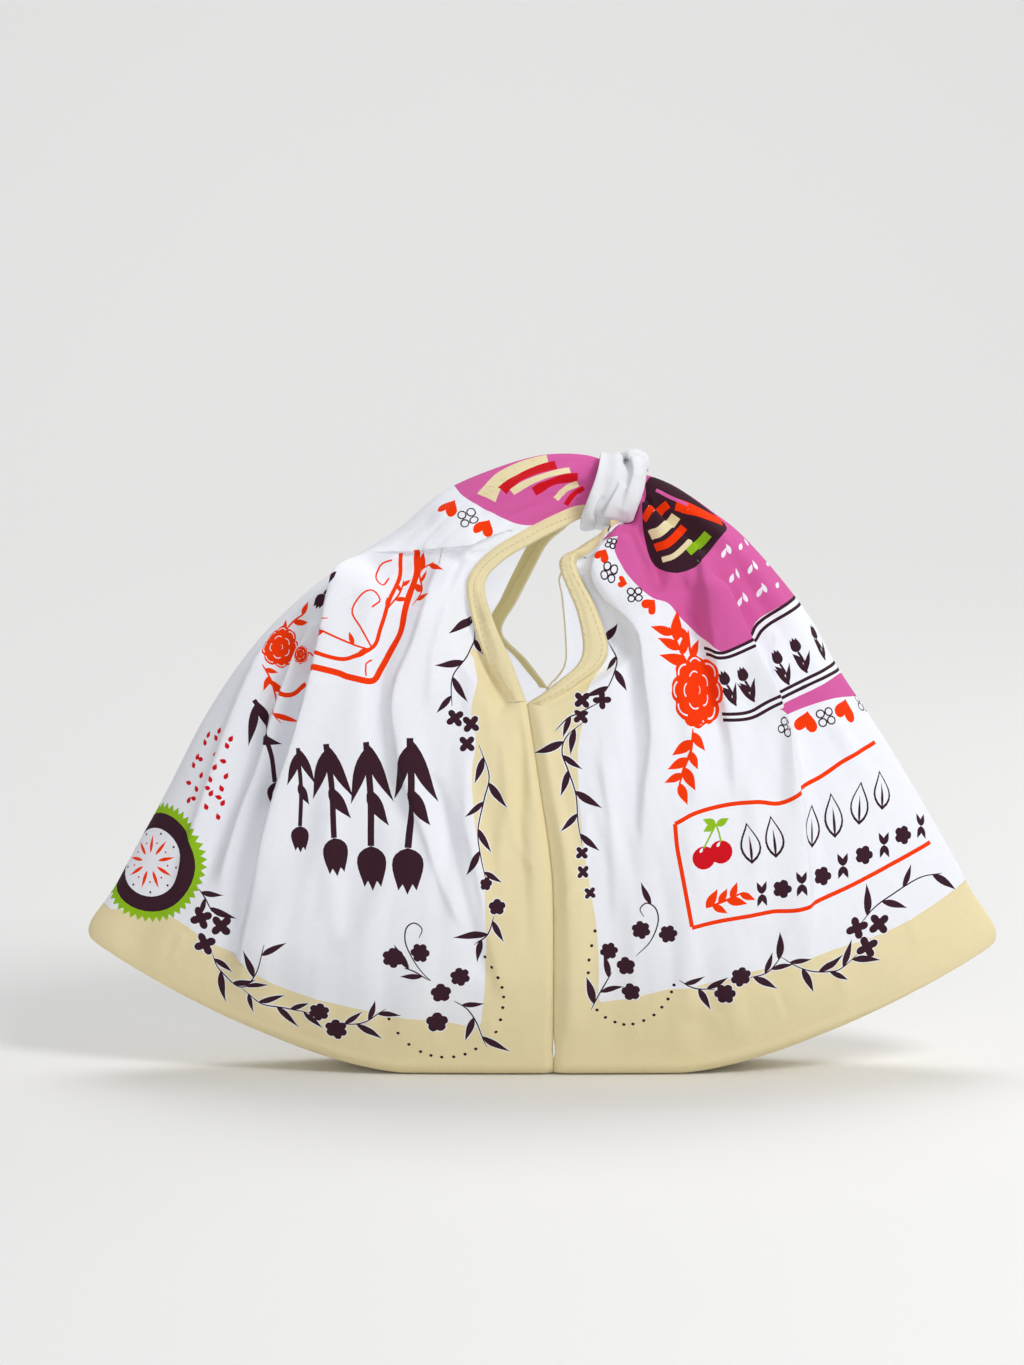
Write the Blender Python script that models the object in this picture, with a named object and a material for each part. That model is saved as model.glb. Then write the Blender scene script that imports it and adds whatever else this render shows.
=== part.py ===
"""Knot bag of two printed cotton squares, standing on its base.

Each square is folded at the bag's side and sewn to the other at a centre seam, front and
back, and to itself along the bottom.  Above the V of the seams the inner edges are hemmed
and free, and both tops are gathered into one knot, which makes the handle.

+Z is up, +X runs to the right as seen from the front and the front looks along -Y.
The origin is on the surface under the middle of the bag's box.
Sizes in the tables below are millimetres.
"""

import math

import bmesh
import bpy
import numpy as np

MM = 0.001

CLOTH_THICKNESS = 1.6
SEAM_GAP = 0.3

# How finely the cloth is divided: across a square, and up from its bottom seam.
COLUMNS = 46
ROWS = 28
FILLET_STEPS = 3
BASE_STEPS = 2

BASE_FILLET = 9.0
BASE_FLAT = 76.0
HALF_WIDTH = 249.5
SIDE_POWER = 0.5

# Sections of each square from its hem to the knot.  Each row has the front edge (x, y, z),
# the fold at the bag's side (x, z), the back edge (x, y, z), and how far the cloth between
# stands out past its edges, front and back.
LEFT_SECTIONS = [
    # name     front_x front_y front_z  side_x  side_z  back_x  back_y  back_z  full_f full_b
    ("hem",       4.0, -28.0,   9.0,   -249.5,  72.1,    4.0,   28.0,    9.0,   0.0,   0.0),
    ("skirt",     3.4, -42.0,  60.0,   -231.0, 110.0,    3.6,   40.0,   60.0,   5.0,   5.0),
    ("waist",     2.6, -48.0, 115.0,   -208.0, 152.0,    3.2,   47.0,  113.0,   6.0,   6.0),
    ("breast",   -2.5, -48.0, 164.0,   -184.0, 198.0,    3.0,   48.0,  162.0,   6.0,   6.0),
    ("v_point",  -8.5, -46.0, 208.8,   -158.0, 235.5,    3.0,   46.0,  206.0,   6.0,   4.0),
    ("rim_low", -22.0, -42.0, 231.0,   -131.0, 263.0,   -9.0,   43.0,  222.0,   6.0,   3.0),
    ("rim_mid", -33.0, -37.0, 254.0,   -106.0, 282.0,  -22.5,   41.0,  238.0,   6.0,   3.0),
    ("rim_top", -33.0, -31.0, 275.0,    -79.0, 299.5,  -14.0,   36.0,  256.0,   5.0,   3.0),
    ("turn",    -23.0, -27.0, 289.0,    -55.0, 319.5,   -5.0,   31.0,  274.0,   4.0,   2.0),
    ("strap",    -5.0, -22.0, 299.0,    -27.0, 332.3,    3.0,   26.0,  289.0,   3.0,   2.0),
    ("neck",     12.0, -15.0, 306.5,      0.0, 339.8,   13.0,   18.0,  298.5,   2.0,   1.0),
    ("mouth",    21.5,  -8.0, 311.5,     24.0, 337.5,   21.5,    8.0,  311.0,   0.0,   0.0),
    ("end",      34.0,  -8.0, 308.5,     39.5, 332.0,   34.0,    8.0,  308.5,   0.0,   0.0),
]
RIGHT_SECTIONS = [
    ("hem",       4.0, -28.0,   9.0,    249.5,  69.3,    4.0,   28.0,    9.0,   0.0,   0.0),
    ("skirt",     3.4, -42.0,  60.0,    232.0, 108.0,    3.6,   40.0,   60.0,   5.0,   5.0),
    ("waist",     2.6, -48.0, 115.0,    208.4, 150.0,    3.2,   47.0,  113.0,   6.0,   6.0),
    ("breast",   -2.5, -48.0, 164.0,    185.0, 188.5,    3.0,   48.0,  162.0,   6.0,   6.0),
    ("v_point",  -8.5, -46.0, 208.8,    163.0, 221.5,    3.0,   46.0,  206.0,   5.0,   4.0),
    ("rim_low",   6.0, -46.0, 220.0,    147.0, 250.0,   10.0,   42.0,  219.0,   4.0,   3.0),
    ("rim_mid",  22.0, -42.0, 234.5,    128.0, 275.0,   13.0,   39.0,  236.0,   4.0,   3.0),
    ("rim_top",  19.0, -36.0, 257.0,    108.0, 297.0,   11.0,   34.0,  258.0,   4.0,   3.0),
    ("kink",     11.5, -30.0, 279.0,     92.0, 309.5,    9.5,   30.0,  271.0,   4.0,   2.0),
    ("turn",     22.0, -23.0, 285.0,     80.0, 318.0,   18.0,   23.0,  283.0,   4.0,   2.0),
    ("neck",     34.5, -11.0, 292.0,     69.0, 324.5,   30.0,   13.0,  291.0,   0.5,   0.5),
    ("mouth",    43.5,  -7.0, 302.5,     55.0, 328.0,   44.0,    8.0,  302.5,   0.0,   0.0),
    ("end",      41.5,  -7.0, 308.0,     45.0, 329.5,   41.5,    8.0,  308.0,   0.0,   0.0),
]
V_ROW = 4

# Folds of the cloth.  Each has its line up the cloth (x, z), its height where the line
# starts and ends (a trough's is negative), and its width to the left and to the right of
# the line: a small width is a steep face, where the cloth lies over itself.
LEFT_FRONT_FOLDS = [
    # name            line                                             from   to   left right
    ("deep_pleat", [(-166, 60), (-141, 154), (-133, 200), (-124, 246), (-112, 275), (-92, 289)],
     3.0, 15.0, 7.5, 36.0),
    ("pleat_bed", [(-184, 75), (-158, 154), (-148, 204), (-136, 246)], -3.0, -9.0, 15.0, 10.0),
    ("far_ridge", [(-200, 96), (-180, 137), (-166, 182), (-156, 214), (-136, 246)],
     2.0, 6.0, 10.0, 9.0),
    ("shoulder", [(-92, 286), (-62, 294), (-36, 300), (-14, 303), (6, 307)], 4.0, 9.0, 11.0, 6.5),
    ("shoulder_bed", [(-74, 274), (-52, 281), (-30, 288)],             -3.0, -4.0, 10.0, 9.0),
    ("mid_trough", [(-86, 110), (-78, 200), (-68, 262)],               -1.5, -6.0, 12.0, 14.0),
    ("rim_trough", [(-34, 206), (-43, 236), (-46, 264)],               -2.0, -5.0,  8.0,  8.0),
    ("low_ridge", [(-60, 30), (-48, 100), (-42, 170)],                  1.5,  3.0, 16.0, 16.0),
]
RIGHT_FRONT_FOLDS = [
    ("cone_edge", [(58, 196), (57, 226), (43, 249), (30, 263), (28, 279), (36, 296)],
     2.0, 9.0, 6.5, 15.0),
    ("rim_bed", [(40, 216), (33, 236), (20, 262)],                     -1.0, -4.0,  8.0,  7.0),
    ("long_ridge", [(144, 56), (143, 111), (135, 179), (129, 207), (115, 244), (99, 269), (66, 306)],
     2.5, 9.0, 20.0, 7.0),
    ("ridge_bed", [(160, 80), (156, 150), (144, 208), (122, 252)],     -2.0, -6.0,  9.0, 13.0),
    ("top_ridge", [(182, 150), (164, 206), (140, 250), (108, 286), (80, 310)], 2.0, 5.0, 9.0, 9.0),
    ("pink_trough", [(96, 170), (86, 226), (72, 268)],                 -2.0, -5.0, 10.0, 10.0),
    ("low_ridge", [(74, 30), (72, 100), (70, 160)],                     1.5,  3.0, 16.0, 18.0),
]
LEFT_BACK_FOLDS = [
    ("back_pleat", [(-150, 60), (-126, 150), (-112, 222), (-88, 276)],  2.0, 10.0, 28.0,  8.0),
    ("back_bed", [(-128, 62), (-108, 150), (-94, 220), (-76, 262)],    -2.0, -7.0, 10.0, 14.0),
    ("back_ridge", [(-60, 50), (-56, 130), (-48, 210)],                 1.5,  4.0, 14.0, 16.0),
    ("back_side", [(-205, 104), (-176, 180), (-140, 240)],             -1.0, -3.5, 12.0, 12.0),
    ("back_strap", [(-84, 284), (-48, 300), (-8, 316)],                 2.0,  5.0,  8.0,  8.0),
]
RIGHT_BACK_FOLDS = [
    ("back_pleat", [(168, 60), (146, 150), (122, 222), (84, 288)],      2.0, 10.0,  8.0, 26.0),
    ("back_bed", [(148, 62), (128, 150), (104, 220), (74, 276)],       -2.0, -7.0, 14.0, 10.0),
    ("back_ridge", [(66, 50), (60, 130), (50, 206)],                    1.5,  4.0, 16.0, 14.0),
    ("back_side", [(214, 104), (188, 172), (152, 228)],                -1.0, -3.5, 12.0, 12.0),
    ("back_strap", [(104, 268), (84, 290), (58, 308)],                  2.0,  5.0,  8.0,  8.0),
]

# The knot's wrap: a band of cloth turned once round both straps.
WRAP_CENTRE = (39.0, 0.0, 319.0)
WRAP_TILT = math.radians(15)
WRAP_HALF_LENGTH = 13.5
WRAP_RADIUS = 21.5
WRAP_DEPTH_RADIUS = 23.0
WRAP_THICKNESS = 4.0
WRAP_TURNS = 48
WRAP_SECTION = 18

# The tail: the short rolled end that stands out of the wrap at its top.
TAIL_CLEARANCE = 0.5
TAIL_SECTIONS = [
    # name    along   y    half_wide  half_high
    ("root",  -2.0,  1.0,   4.5,   0.8),
    ("rise",   2.0,  0.6,   7.0,   2.2),
    ("crown",  6.0,  0.0,   7.8,   3.8),
    ("roll",  10.0, -0.5,   7.2,   3.6),
    ("tip",   13.0, -0.5,   5.0,   1.8),
]
TAIL_SIDES = 16


def remove_all_objects():
    for thing in list(bpy.data.objects):
        bpy.data.objects.remove(thing, do_unlink=True)


def smooth_steps(value, low, high):
    """Zero below low, one above high, with an even slope between."""
    share = np.clip((value - low) / (high - low), 0.0, 1.0)
    return share * share * (3.0 - 2.0 * share)


def through_points(points, where):
    """The smooth curve through the points, read at places counted in points from zero."""
    points = np.asarray(points, dtype=float)
    last = len(points) - 1
    if last == 1:
        return points[0] + (points[1] - points[0]) * where[:, None]
    padded = np.vstack([2 * points[0] - points[1], points, 2 * points[-1] - points[-2]])
    start = np.minimum(where.astype(int), last - 1)
    u = (where - start)[:, None]
    before, here, after, beyond = (padded[start + k] for k in range(4))
    return 0.5 * (2 * here + (after - before) * u
                  + (2 * before - 5 * here + 4 * after - beyond) * u ** 2
                  + (3 * here - before - 3 * after + beyond) * u ** 3)


def edge_curve(points, where):
    """An inner edge: one smooth curve up the seam and another up the rim, meeting at the V."""
    points = np.asarray(points, dtype=float)
    seam = through_points(points[:V_ROW + 1], np.minimum(where, V_ROW))
    rim = through_points(points[V_ROW:], np.maximum(where - V_ROW, 0.0))
    return np.where((where <= V_ROW)[:, None], seam, rim)


def hem_lift(x, corner):
    """How high the bottom seam runs at x: flat in the middle, raised at the corners."""
    past = np.clip((np.abs(x) - BASE_FLAT) / (HALF_WIDTH - BASE_FLAT), 0.0, 1.0)
    return corner * past ** 1.5


def half_section(edge, side, full, across, bow):
    """One half of a section, from its inner edge to the fold at the bag's side."""
    x = edge[0] + (side[0] - edge[0]) * across
    z = edge[2] + (side[1] - edge[2]) * across + bow
    depth = (1.0 - across ** 2) ** SIDE_POWER * (abs(edge[1]) + full * np.sin(math.pi * across) ** 2)
    return np.stack([x, math.copysign(1.0, edge[1]) * depth, z], axis=1)


def evenly_spaced(points, count):
    """The same line with count + 1 points an even distance apart."""
    steps = np.linalg.norm(np.diff(points, axis=0), axis=1)
    length = np.concatenate([[0.0], np.cumsum(steps)])
    wanted = np.linspace(0.0, length[-1], count + 1)
    return np.stack([np.interp(wanted, length, points[:, k]) for k in range(3)], axis=1)


def square_surface(sections):
    """The cloth's outer face as rows of points, from its hem to the knot, before its folds."""
    table = np.array([row[1:] for row in sections])
    where = np.linspace(0.0, len(sections) - 1, ROWS + 1)
    front = edge_curve(table[:, 0:3], where)
    side = through_points(table[:, 3:5], where)
    back = edge_curve(table[:, 5:8], where)
    full = through_points(table[:, 8:10], where)
    across = np.sin(np.linspace(0.0, math.pi / 2, 90))
    corner = side[0]
    hem_x = front[0, 0] + (corner[0] - front[0, 0]) * across
    straight = front[0, 2] + (corner[1] - front[0, 2]) * across
    turn_height = np.minimum(BASE_FILLET, BASE_FILLET * 2.5 * (1 - across))
    bow_at_hem = hem_lift(hem_x, corner[1]) + turn_height - straight
    rows = []
    for k in range(ROWS + 1):
        bow = bow_at_hem * (1.0 - k / ROWS) ** 1.3
        front_half = half_section(front[k], side[k], full[k, 0], across, bow)
        back_half = half_section(back[k], side[k], full[k, 1], across, bow)
        rows.append(np.vstack([evenly_spaced(front_half, COLUMNS // 2),
                               evenly_spaced(back_half, COLUMNS // 2)[-2::-1]]))
    return np.array(rows)


def surface_normals(grid, facing):
    """Directions square to the cloth at each point, away from the bag's inside."""
    up = np.gradient(grid, axis=0)
    across = np.gradient(grid, axis=1)
    normal = np.cross(up, across) * facing
    return normal / np.maximum(np.linalg.norm(normal, axis=2, keepdims=True), 1e-9)


def fold_height(x, z, line, start, end, left, right):
    """How far one fold lifts the cloth at each place (x, z)."""
    path = through_points(line, np.linspace(0.0, len(line) - 1, 25))
    place = np.stack([x, z], axis=-1)[..., None, :]
    begin, run = path[:-1], np.diff(path, axis=0)
    share = np.clip(((place - begin) * run).sum(-1) / (run ** 2).sum(-1), 0.0, 1.0)
    off = place - begin - share[..., None] * run
    nearest = np.argmin((off ** 2).sum(-1), axis=-1)[..., None]
    off = np.take_along_axis(off, nearest[..., None], axis=-2)[..., 0, :]
    along = (nearest[..., 0] + np.take_along_axis(share, nearest, axis=-1)[..., 0]) / len(run)
    to_right = off[..., 0] * run[nearest[..., 0], 1] - off[..., 1] * run[nearest[..., 0], 0]
    width = np.where(to_right > 0, right, left)
    ends = smooth_steps(along, 0.0, 0.12) * (1.0 - 0.6 * smooth_steps(along, 0.85, 1.0))
    return (start + (end - start) * along) * ends * np.exp(-(off ** 2).sum(-1) / width ** 2)


def with_folds(grid, normals, front_folds, back_folds):
    """The cloth pushed out or in by its folds, which fade at the hem, the seams and the knot."""
    half = COLUMNS // 2
    push = np.zeros(grid.shape[:2])
    for folds, columns in ((front_folds, slice(0, half + 1)), (back_folds, slice(half, COLUMNS + 1))):
        part = grid[:, columns]
        for name, line, start, end, left, right in folds:
            push[:, columns] += fold_height(part[..., 0], part[..., 2], line, start, end, left, right)
    across = np.abs(np.linspace(-1.0, 1.0, COLUMNS + 1))
    up = np.linspace(0.0, 1.0, ROWS + 1)
    push *= smooth_steps(across, 0.02, 0.14) * (1.0 - smooth_steps(across, 0.90, 1.0))
    push *= (smooth_steps(up, 0.0, 0.1) * (1.0 - smooth_steps(up, 0.82, 0.93)))[:, None]
    return grid + normals * push[..., None]


def bottom_rows(front, back, corner_z):
    """The turn under the bag from the front's lowest row, flat to the bottom seam and on."""
    rows = []
    for edge in (front, back):
        depth = np.abs(edge[:, 1])
        sign = math.copysign(1.0, edge[1, 1])
        floor = hem_lift(edge[:, 0], corner_z)
        radius = np.clip(edge[:, 2] - floor, 0.0, depth)
        turned = []
        for k in range(1, FILLET_STEPS + 1):
            angle = math.pi / 2 * k / FILLET_STEPS
            turned.append(np.stack([edge[:, 0],
                                    sign * (depth - radius * (1 - math.cos(angle))),
                                    edge[:, 2] - radius * math.sin(angle)], axis=1))
        for k in range(1, BASE_STEPS + 1):
            share = 1.0 - k / BASE_STEPS
            turned.append(np.stack([edge[:, 0], sign * (depth - radius) * share,
                                    edge[:, 2] - radius], axis=1))
        rows.append(turned)
    seam = 0.5 * (rows[0][-1] + rows[1][-1])
    return [front] + rows[0][:-1] + [seam] + rows[1][-2::-1] + [back]


def add_grid(mesh, rows, flip):
    """Adds a sheet of four-cornered faces between rows of points."""
    points = [[mesh.verts.new(tuple(point * MM)) for point in row] for row in rows]
    for low, high in zip(points, points[1:]):
        for k in range(len(low) - 1):
            corners = [low[k], low[k + 1], high[k + 1], high[k]]
            mesh.faces.new(corners[::-1] if flip else corners)


def finish_object(name, mesh, colour, roughness):
    """Makes the object of a closed mesh with its own material."""
    data = bpy.data.meshes.new(name)
    mesh.to_mesh(data)
    mesh.free()
    data.shade_smooth()
    data.set_sharp_from_angle(angle=math.radians(50))
    material = bpy.data.materials.new(name + "_cloth")
    material.use_nodes = True
    shader = material.node_tree.nodes["Principled BSDF"]
    shader.inputs["Base Color"].default_value = (*colour, 1.0)
    shader.inputs["Roughness"].default_value = roughness
    shader.inputs["Metallic"].default_value = 0.0
    data.materials.append(material)
    thing = bpy.data.objects.new(name, data)
    bpy.context.scene.collection.objects.link(thing)
    return thing


def cloth_square(name, sections, front_folds, back_folds, side):
    """One printed square: its face folded round the bag's side, thickened inwards."""
    grid = square_surface(sections)
    grid = with_folds(grid, surface_normals(grid, -side), front_folds, back_folds)
    grid[:, 0, 0] += side * SEAM_GAP / 2
    grid[:, -1, 0] += side * SEAM_GAP / 2
    half = COLUMNS // 2
    corner_height = sections[0][5]
    under = bottom_rows(grid[0, :half + 1], grid[0, :half - 1:-1], corner_height)
    mesh = bmesh.new()
    add_grid(mesh, grid, side < 0)
    add_grid(mesh, under, side > 0)
    bmesh.ops.remove_doubles(mesh, verts=mesh.verts, dist=0.00002)
    bmesh.ops.dissolve_degenerate(mesh, edges=mesh.edges, dist=0.00002)
    cloth = finish_object(name, mesh, (0.86, 0.82, 0.74), 0.85)
    thick = cloth.modifiers.new("cloth_thickness", "SOLIDIFY")
    thick.thickness = CLOTH_THICKNESS * MM
    thick.offset = -1.0
    thick.use_even_offset = False
    return cloth


def wrap_outline(angle):
    """Where the band's two edges lie along the straps at this angle round them."""
    below = float(smooth_steps(-math.sin(angle), 0.42, 0.85))
    right = WRAP_HALF_LENGTH - 14.0 * below
    left = -WRAP_HALF_LENGTH + 1.0 * max(0.0, math.sin(angle))
    return left, right


def wrap_radius(angle, along):
    """How far the band's outside stands from the straps' middle line."""
    high, wide = math.sin(angle), math.cos(angle)
    radius = math.hypot(WRAP_RADIUS * high, WRAP_DEPTH_RADIUS * wide)
    lobes = 0.9 * math.cos(2 * math.pi * (along / 12.0 + 0.18 * angle))
    return radius + lobes - 1.5 * max(0.0, high) * max(0.0, along / WRAP_HALF_LENGTH)


def wrap_point(angle, along, radius):
    """A point of the band from its angle, its place along the straps and its radius."""
    x, y, z = WRAP_CENTRE
    cos_tilt, sin_tilt = math.cos(WRAP_TILT), math.sin(WRAP_TILT)
    up = radius * math.sin(angle)
    return (x + along * cos_tilt + up * sin_tilt,
            y - radius * math.cos(angle),
            z - along * sin_tilt + up * cos_tilt)


def knot_wrap():
    """The band round the straps: a closed ring with rounded edges and soft folds."""
    mesh = bmesh.new()
    rings = []
    for k in range(WRAP_TURNS):
        angle = 2 * math.pi * k / WRAP_TURNS
        left, right = wrap_outline(angle)
        middle, reach = (left + right) / 2, (right - left) / 2
        ring = []
        for j in range(WRAP_SECTION):
            turn = 2 * math.pi * j / WRAP_SECTION
            along = middle + reach * math.cos(turn)
            depth = WRAP_THICKNESS / 2 * (math.copysign(abs(math.sin(turn)) ** 0.6, math.sin(turn)) - 1)
            point = wrap_point(angle, along, wrap_radius(angle, along) + depth)
            ring.append(mesh.verts.new([value * MM for value in point]))
        rings.append(ring)
    for ring, after in zip(rings, rings[1:] + rings[:1]):
        for j in range(WRAP_SECTION):
            n = (j + 1) % WRAP_SECTION
            mesh.faces.new([ring[j], ring[n], after[n], after[j]])
    bmesh.ops.recalc_face_normals(mesh, faces=mesh.faces)
    return finish_object("knot_wrap", mesh, (0.84, 0.84, 0.85), 0.85)


def knot_tail():
    """The rolled end: rounded sections along its bend, closed at both ends."""
    table = np.array([row[1:] for row in TAIL_SECTIONS])
    stations = through_points(table, np.linspace(0.0, len(table) - 1, 9))
    mesh = bmesh.new()
    rings = []
    top = math.pi / 2
    for along, side, wide, high in stations:
        x, y, z = wrap_point(top, along, wrap_radius(top, along) + TAIL_CLEARANCE + high)
        ring = []
        for k in range(TAIL_SIDES):
            angle = 2 * math.pi * k / TAIL_SIDES
            ring.append(mesh.verts.new((x * MM, (y + side + wide * math.cos(angle)) * MM,
                                        (z + high * math.sin(angle)) * MM)))
        rings.append(ring)
    for ring, after in zip(rings, rings[1:]):
        for k in range(TAIL_SIDES):
            n = (k + 1) % TAIL_SIDES
            mesh.faces.new([ring[k], ring[n], after[n], after[k]])
    mesh.faces.new(rings[0])
    mesh.faces.new(rings[-1])
    bmesh.ops.recalc_face_normals(mesh, faces=mesh.faces)
    return finish_object("knot_tail", mesh, (0.84, 0.84, 0.85), 0.85)


remove_all_objects()
cloth_square("panel_left", LEFT_SECTIONS, LEFT_FRONT_FOLDS, LEFT_BACK_FOLDS, -1)
cloth_square("panel_right", RIGHT_SECTIONS, RIGHT_FRONT_FOLDS, RIGHT_BACK_FOLDS, 1)
knot_wrap()
knot_tail()
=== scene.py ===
"""Looks of a knot bag: two printed cotton squares, folded at the sides and tied at the top."""

import math

import bpy
import numpy as np
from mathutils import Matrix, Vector
from mathutils.geometry import delaunay_2d_cdt


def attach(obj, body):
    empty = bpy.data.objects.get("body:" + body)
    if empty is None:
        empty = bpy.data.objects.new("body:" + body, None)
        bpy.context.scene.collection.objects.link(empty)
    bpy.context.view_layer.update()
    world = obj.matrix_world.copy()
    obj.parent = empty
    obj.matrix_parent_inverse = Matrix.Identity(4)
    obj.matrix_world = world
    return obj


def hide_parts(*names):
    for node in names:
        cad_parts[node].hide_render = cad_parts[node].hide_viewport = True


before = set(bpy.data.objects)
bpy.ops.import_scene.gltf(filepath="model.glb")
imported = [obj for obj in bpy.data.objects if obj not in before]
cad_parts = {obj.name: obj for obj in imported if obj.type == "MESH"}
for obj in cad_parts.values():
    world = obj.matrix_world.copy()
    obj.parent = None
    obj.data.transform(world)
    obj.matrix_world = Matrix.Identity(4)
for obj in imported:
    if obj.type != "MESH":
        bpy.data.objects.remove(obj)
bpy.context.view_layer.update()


# Camera.  The bag is seen from the front with a long lens, a little from above.  The picture
# is 1024 by 1365 pixels, and a print's place on the bag is given in those pixels.
MM = 0.001
PICTURE_WIDE, PICTURE_TALL = 1024, 1365
VIEW_AIM = (-0.0167, 0.0, 0.2148)
VIEW_DISTANCE = 2.6
VIEW_RISE = math.radians(8)
VIEW_WIDTH = 0.562
SENSOR = 36.0
RIGHTWARD = np.array([1.0, 0.0, 0.0])
FORWARD = np.array([0.0, math.cos(VIEW_RISE), -math.sin(VIEW_RISE)])
UPWARD = np.cross(RIGHTWARD, FORWARD)


def photo_place(points):
    """Where points of the bag, in millimetres, show in the picture, in pixels."""
    ray = points * MM - (np.array(VIEW_AIM) - VIEW_DISTANCE * FORWARD)
    scale = PICTURE_WIDE * VIEW_DISTANCE / VIEW_WIDTH / (ray @ FORWARD)
    return np.stack([PICTURE_WIDE / 2 + (ray @ RIGHTWARD) * scale,
                     PICTURE_TALL / 2 - (ray @ UPWARD) * scale], axis=-1)


def placed(name, data, place=None, heading=None):
    """Puts a thing in the scene, turned along its heading if it has one."""
    thing = bpy.data.objects.new(name, data)
    bpy.context.scene.collection.objects.link(thing)
    if heading is not None:
        thing.location = place
        thing.rotation_euler = heading.to_track_quat("-Z", "Y").to_euler()
    return thing


lens = bpy.data.cameras.new("long_lens")
lens.sensor_fit = "HORIZONTAL"
lens.sensor_width = SENSOR
lens.lens = SENSOR * VIEW_DISTANCE / VIEW_WIDTH
lens.clip_end = 20.0
ahead = Vector(FORWARD)
bpy.context.scene.camera = placed("camera", lens, Vector(VIEW_AIM) - VIEW_DISTANCE * ahead, ahead)


# Cotton.  Both squares are one plain-weave cotton of about 22 threads to the centimetre, with
# thicker threads here and there and a slight pucker.  The printed face takes its colour from
# the print's inks, which the mesh carries, and the reverse is left white.  The reverse also
# gets a painted glow, which stands in for the light that comes through the thin cloth.
THREAD_PITCH = 0.45
SLUB_LONG, SLUB_SHORT = 0.09, 2.4
PUCKER_SIZE = 0.055
SLUB_SHADE, WEAVE_SHADE = (0.15, 0.925), (0.03, 0.985)
SLUB_ROUGHNESS = (0.16, 0.78)
SLUB_HEIGHT, WEAVE_HEIGHT = 0.9, 0.35
# Two of these inks are painted shade: the dull khaki cream, for the left square's inner hem lying in
# shadow, and the greyed white of the knot.
INKS = {
    "cream": (0.795, 0.69, 0.42), "white": (0.835, 0.85, 0.905), "reverse": (0.86, 0.865, 0.885),
    "aubergine": (0.040, 0.012, 0.022), "orange": (0.88, 0.040, 0.0), "pink": (0.635, 0.108, 0.347),
    "red": (0.60, 0.004, 0.012), "green": (0.27, 0.50, 0.012), "cream_painted_shade": (0.44, 0.37, 0.17),
    "tie_painted_shade": (0.75, 0.76, 0.79),
}
INK_NAMES = list(INKS)


def cotton_weave_group():
    """Threads over and under, slubs, pucker: a shade, a roughness and a height."""
    group = bpy.data.node_groups.new("cotton_weave", "ShaderNodeTree")
    for name, kind in (("Threads", "NodeSocketVector"), ("Pitch", "NodeSocketFloat"),
                       ("Pucker", "NodeSocketFloat")):
        group.interface.new_socket(name, in_out="INPUT", socket_type=kind)
    for name in ("Shade", "Roughness", "Height"):
        group.interface.new_socket(name, in_out="OUTPUT", socket_type="NodeSocketFloat")
    nodes, links = group.nodes, group.links
    inlet = nodes.new("NodeGroupInput")
    outlet = nodes.new("NodeGroupOutput")

    def sum_of(kind, *values):
        node = nodes.new("ShaderNodeMath")
        node.operation = kind
        for socket, value in zip(node.inputs, values):
            if isinstance(value, bpy.types.NodeSocket):
                links.new(value, socket)
            else:
                socket.default_value = value
        return node.outputs[0]

    def noise(stretch, detail):
        scaled = nodes.new("ShaderNodeVectorMath")
        scaled.operation = "MULTIPLY"
        links.new(inlet.outputs["Threads"], scaled.inputs[0])
        scaled.inputs[1].default_value = stretch
        node = nodes.new("ShaderNodeTexNoise")
        node.inputs["Scale"].default_value = 1.0
        node.inputs["Detail"].default_value = detail
        links.new(scaled.outputs[0], node.inputs["Vector"])
        return node.outputs["Fac"]

    parts = nodes.new("ShaderNodeSeparateXYZ")
    links.new(inlet.outputs["Threads"], parts.inputs[0])
    turns = []
    for axis in ("X", "Y"):
        threads = sum_of("DIVIDE", parts.outputs[axis], inlet.outputs["Pitch"])
        turns.append(sum_of("SINE", sum_of("MULTIPLY", threads, math.pi)))
    weave = sum_of("MULTIPLY_ADD", sum_of("MULTIPLY", *turns), 0.5, 0.5)
    warp_slub = noise((SLUB_SHORT, SLUB_LONG, 0.0), 2.0)
    weft_slub = noise((SLUB_LONG, SLUB_SHORT, 0.0), 2.0)
    slub = sum_of("MULTIPLY", sum_of("ADD", warp_slub, weft_slub), 0.5)
    soft = noise((PUCKER_SIZE, PUCKER_SIZE, 0.0), 3.0)
    shade = sum_of("MULTIPLY", sum_of("MULTIPLY_ADD", slub, *SLUB_SHADE),
                   sum_of("MULTIPLY_ADD", weave, *WEAVE_SHADE))
    fine = sum_of("MULTIPLY_ADD", slub, SLUB_HEIGHT, sum_of("MULTIPLY", weave, WEAVE_HEIGHT))
    links.new(shade, outlet.inputs["Shade"])
    links.new(sum_of("MULTIPLY_ADD", slub, *SLUB_ROUGHNESS), outlet.inputs["Roughness"])
    links.new(sum_of("MULTIPLY_ADD", soft, inlet.outputs["Pucker"], fine), outlet.inputs["Height"])
    return group


COTTON_WEAVE = cotton_weave_group()


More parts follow.
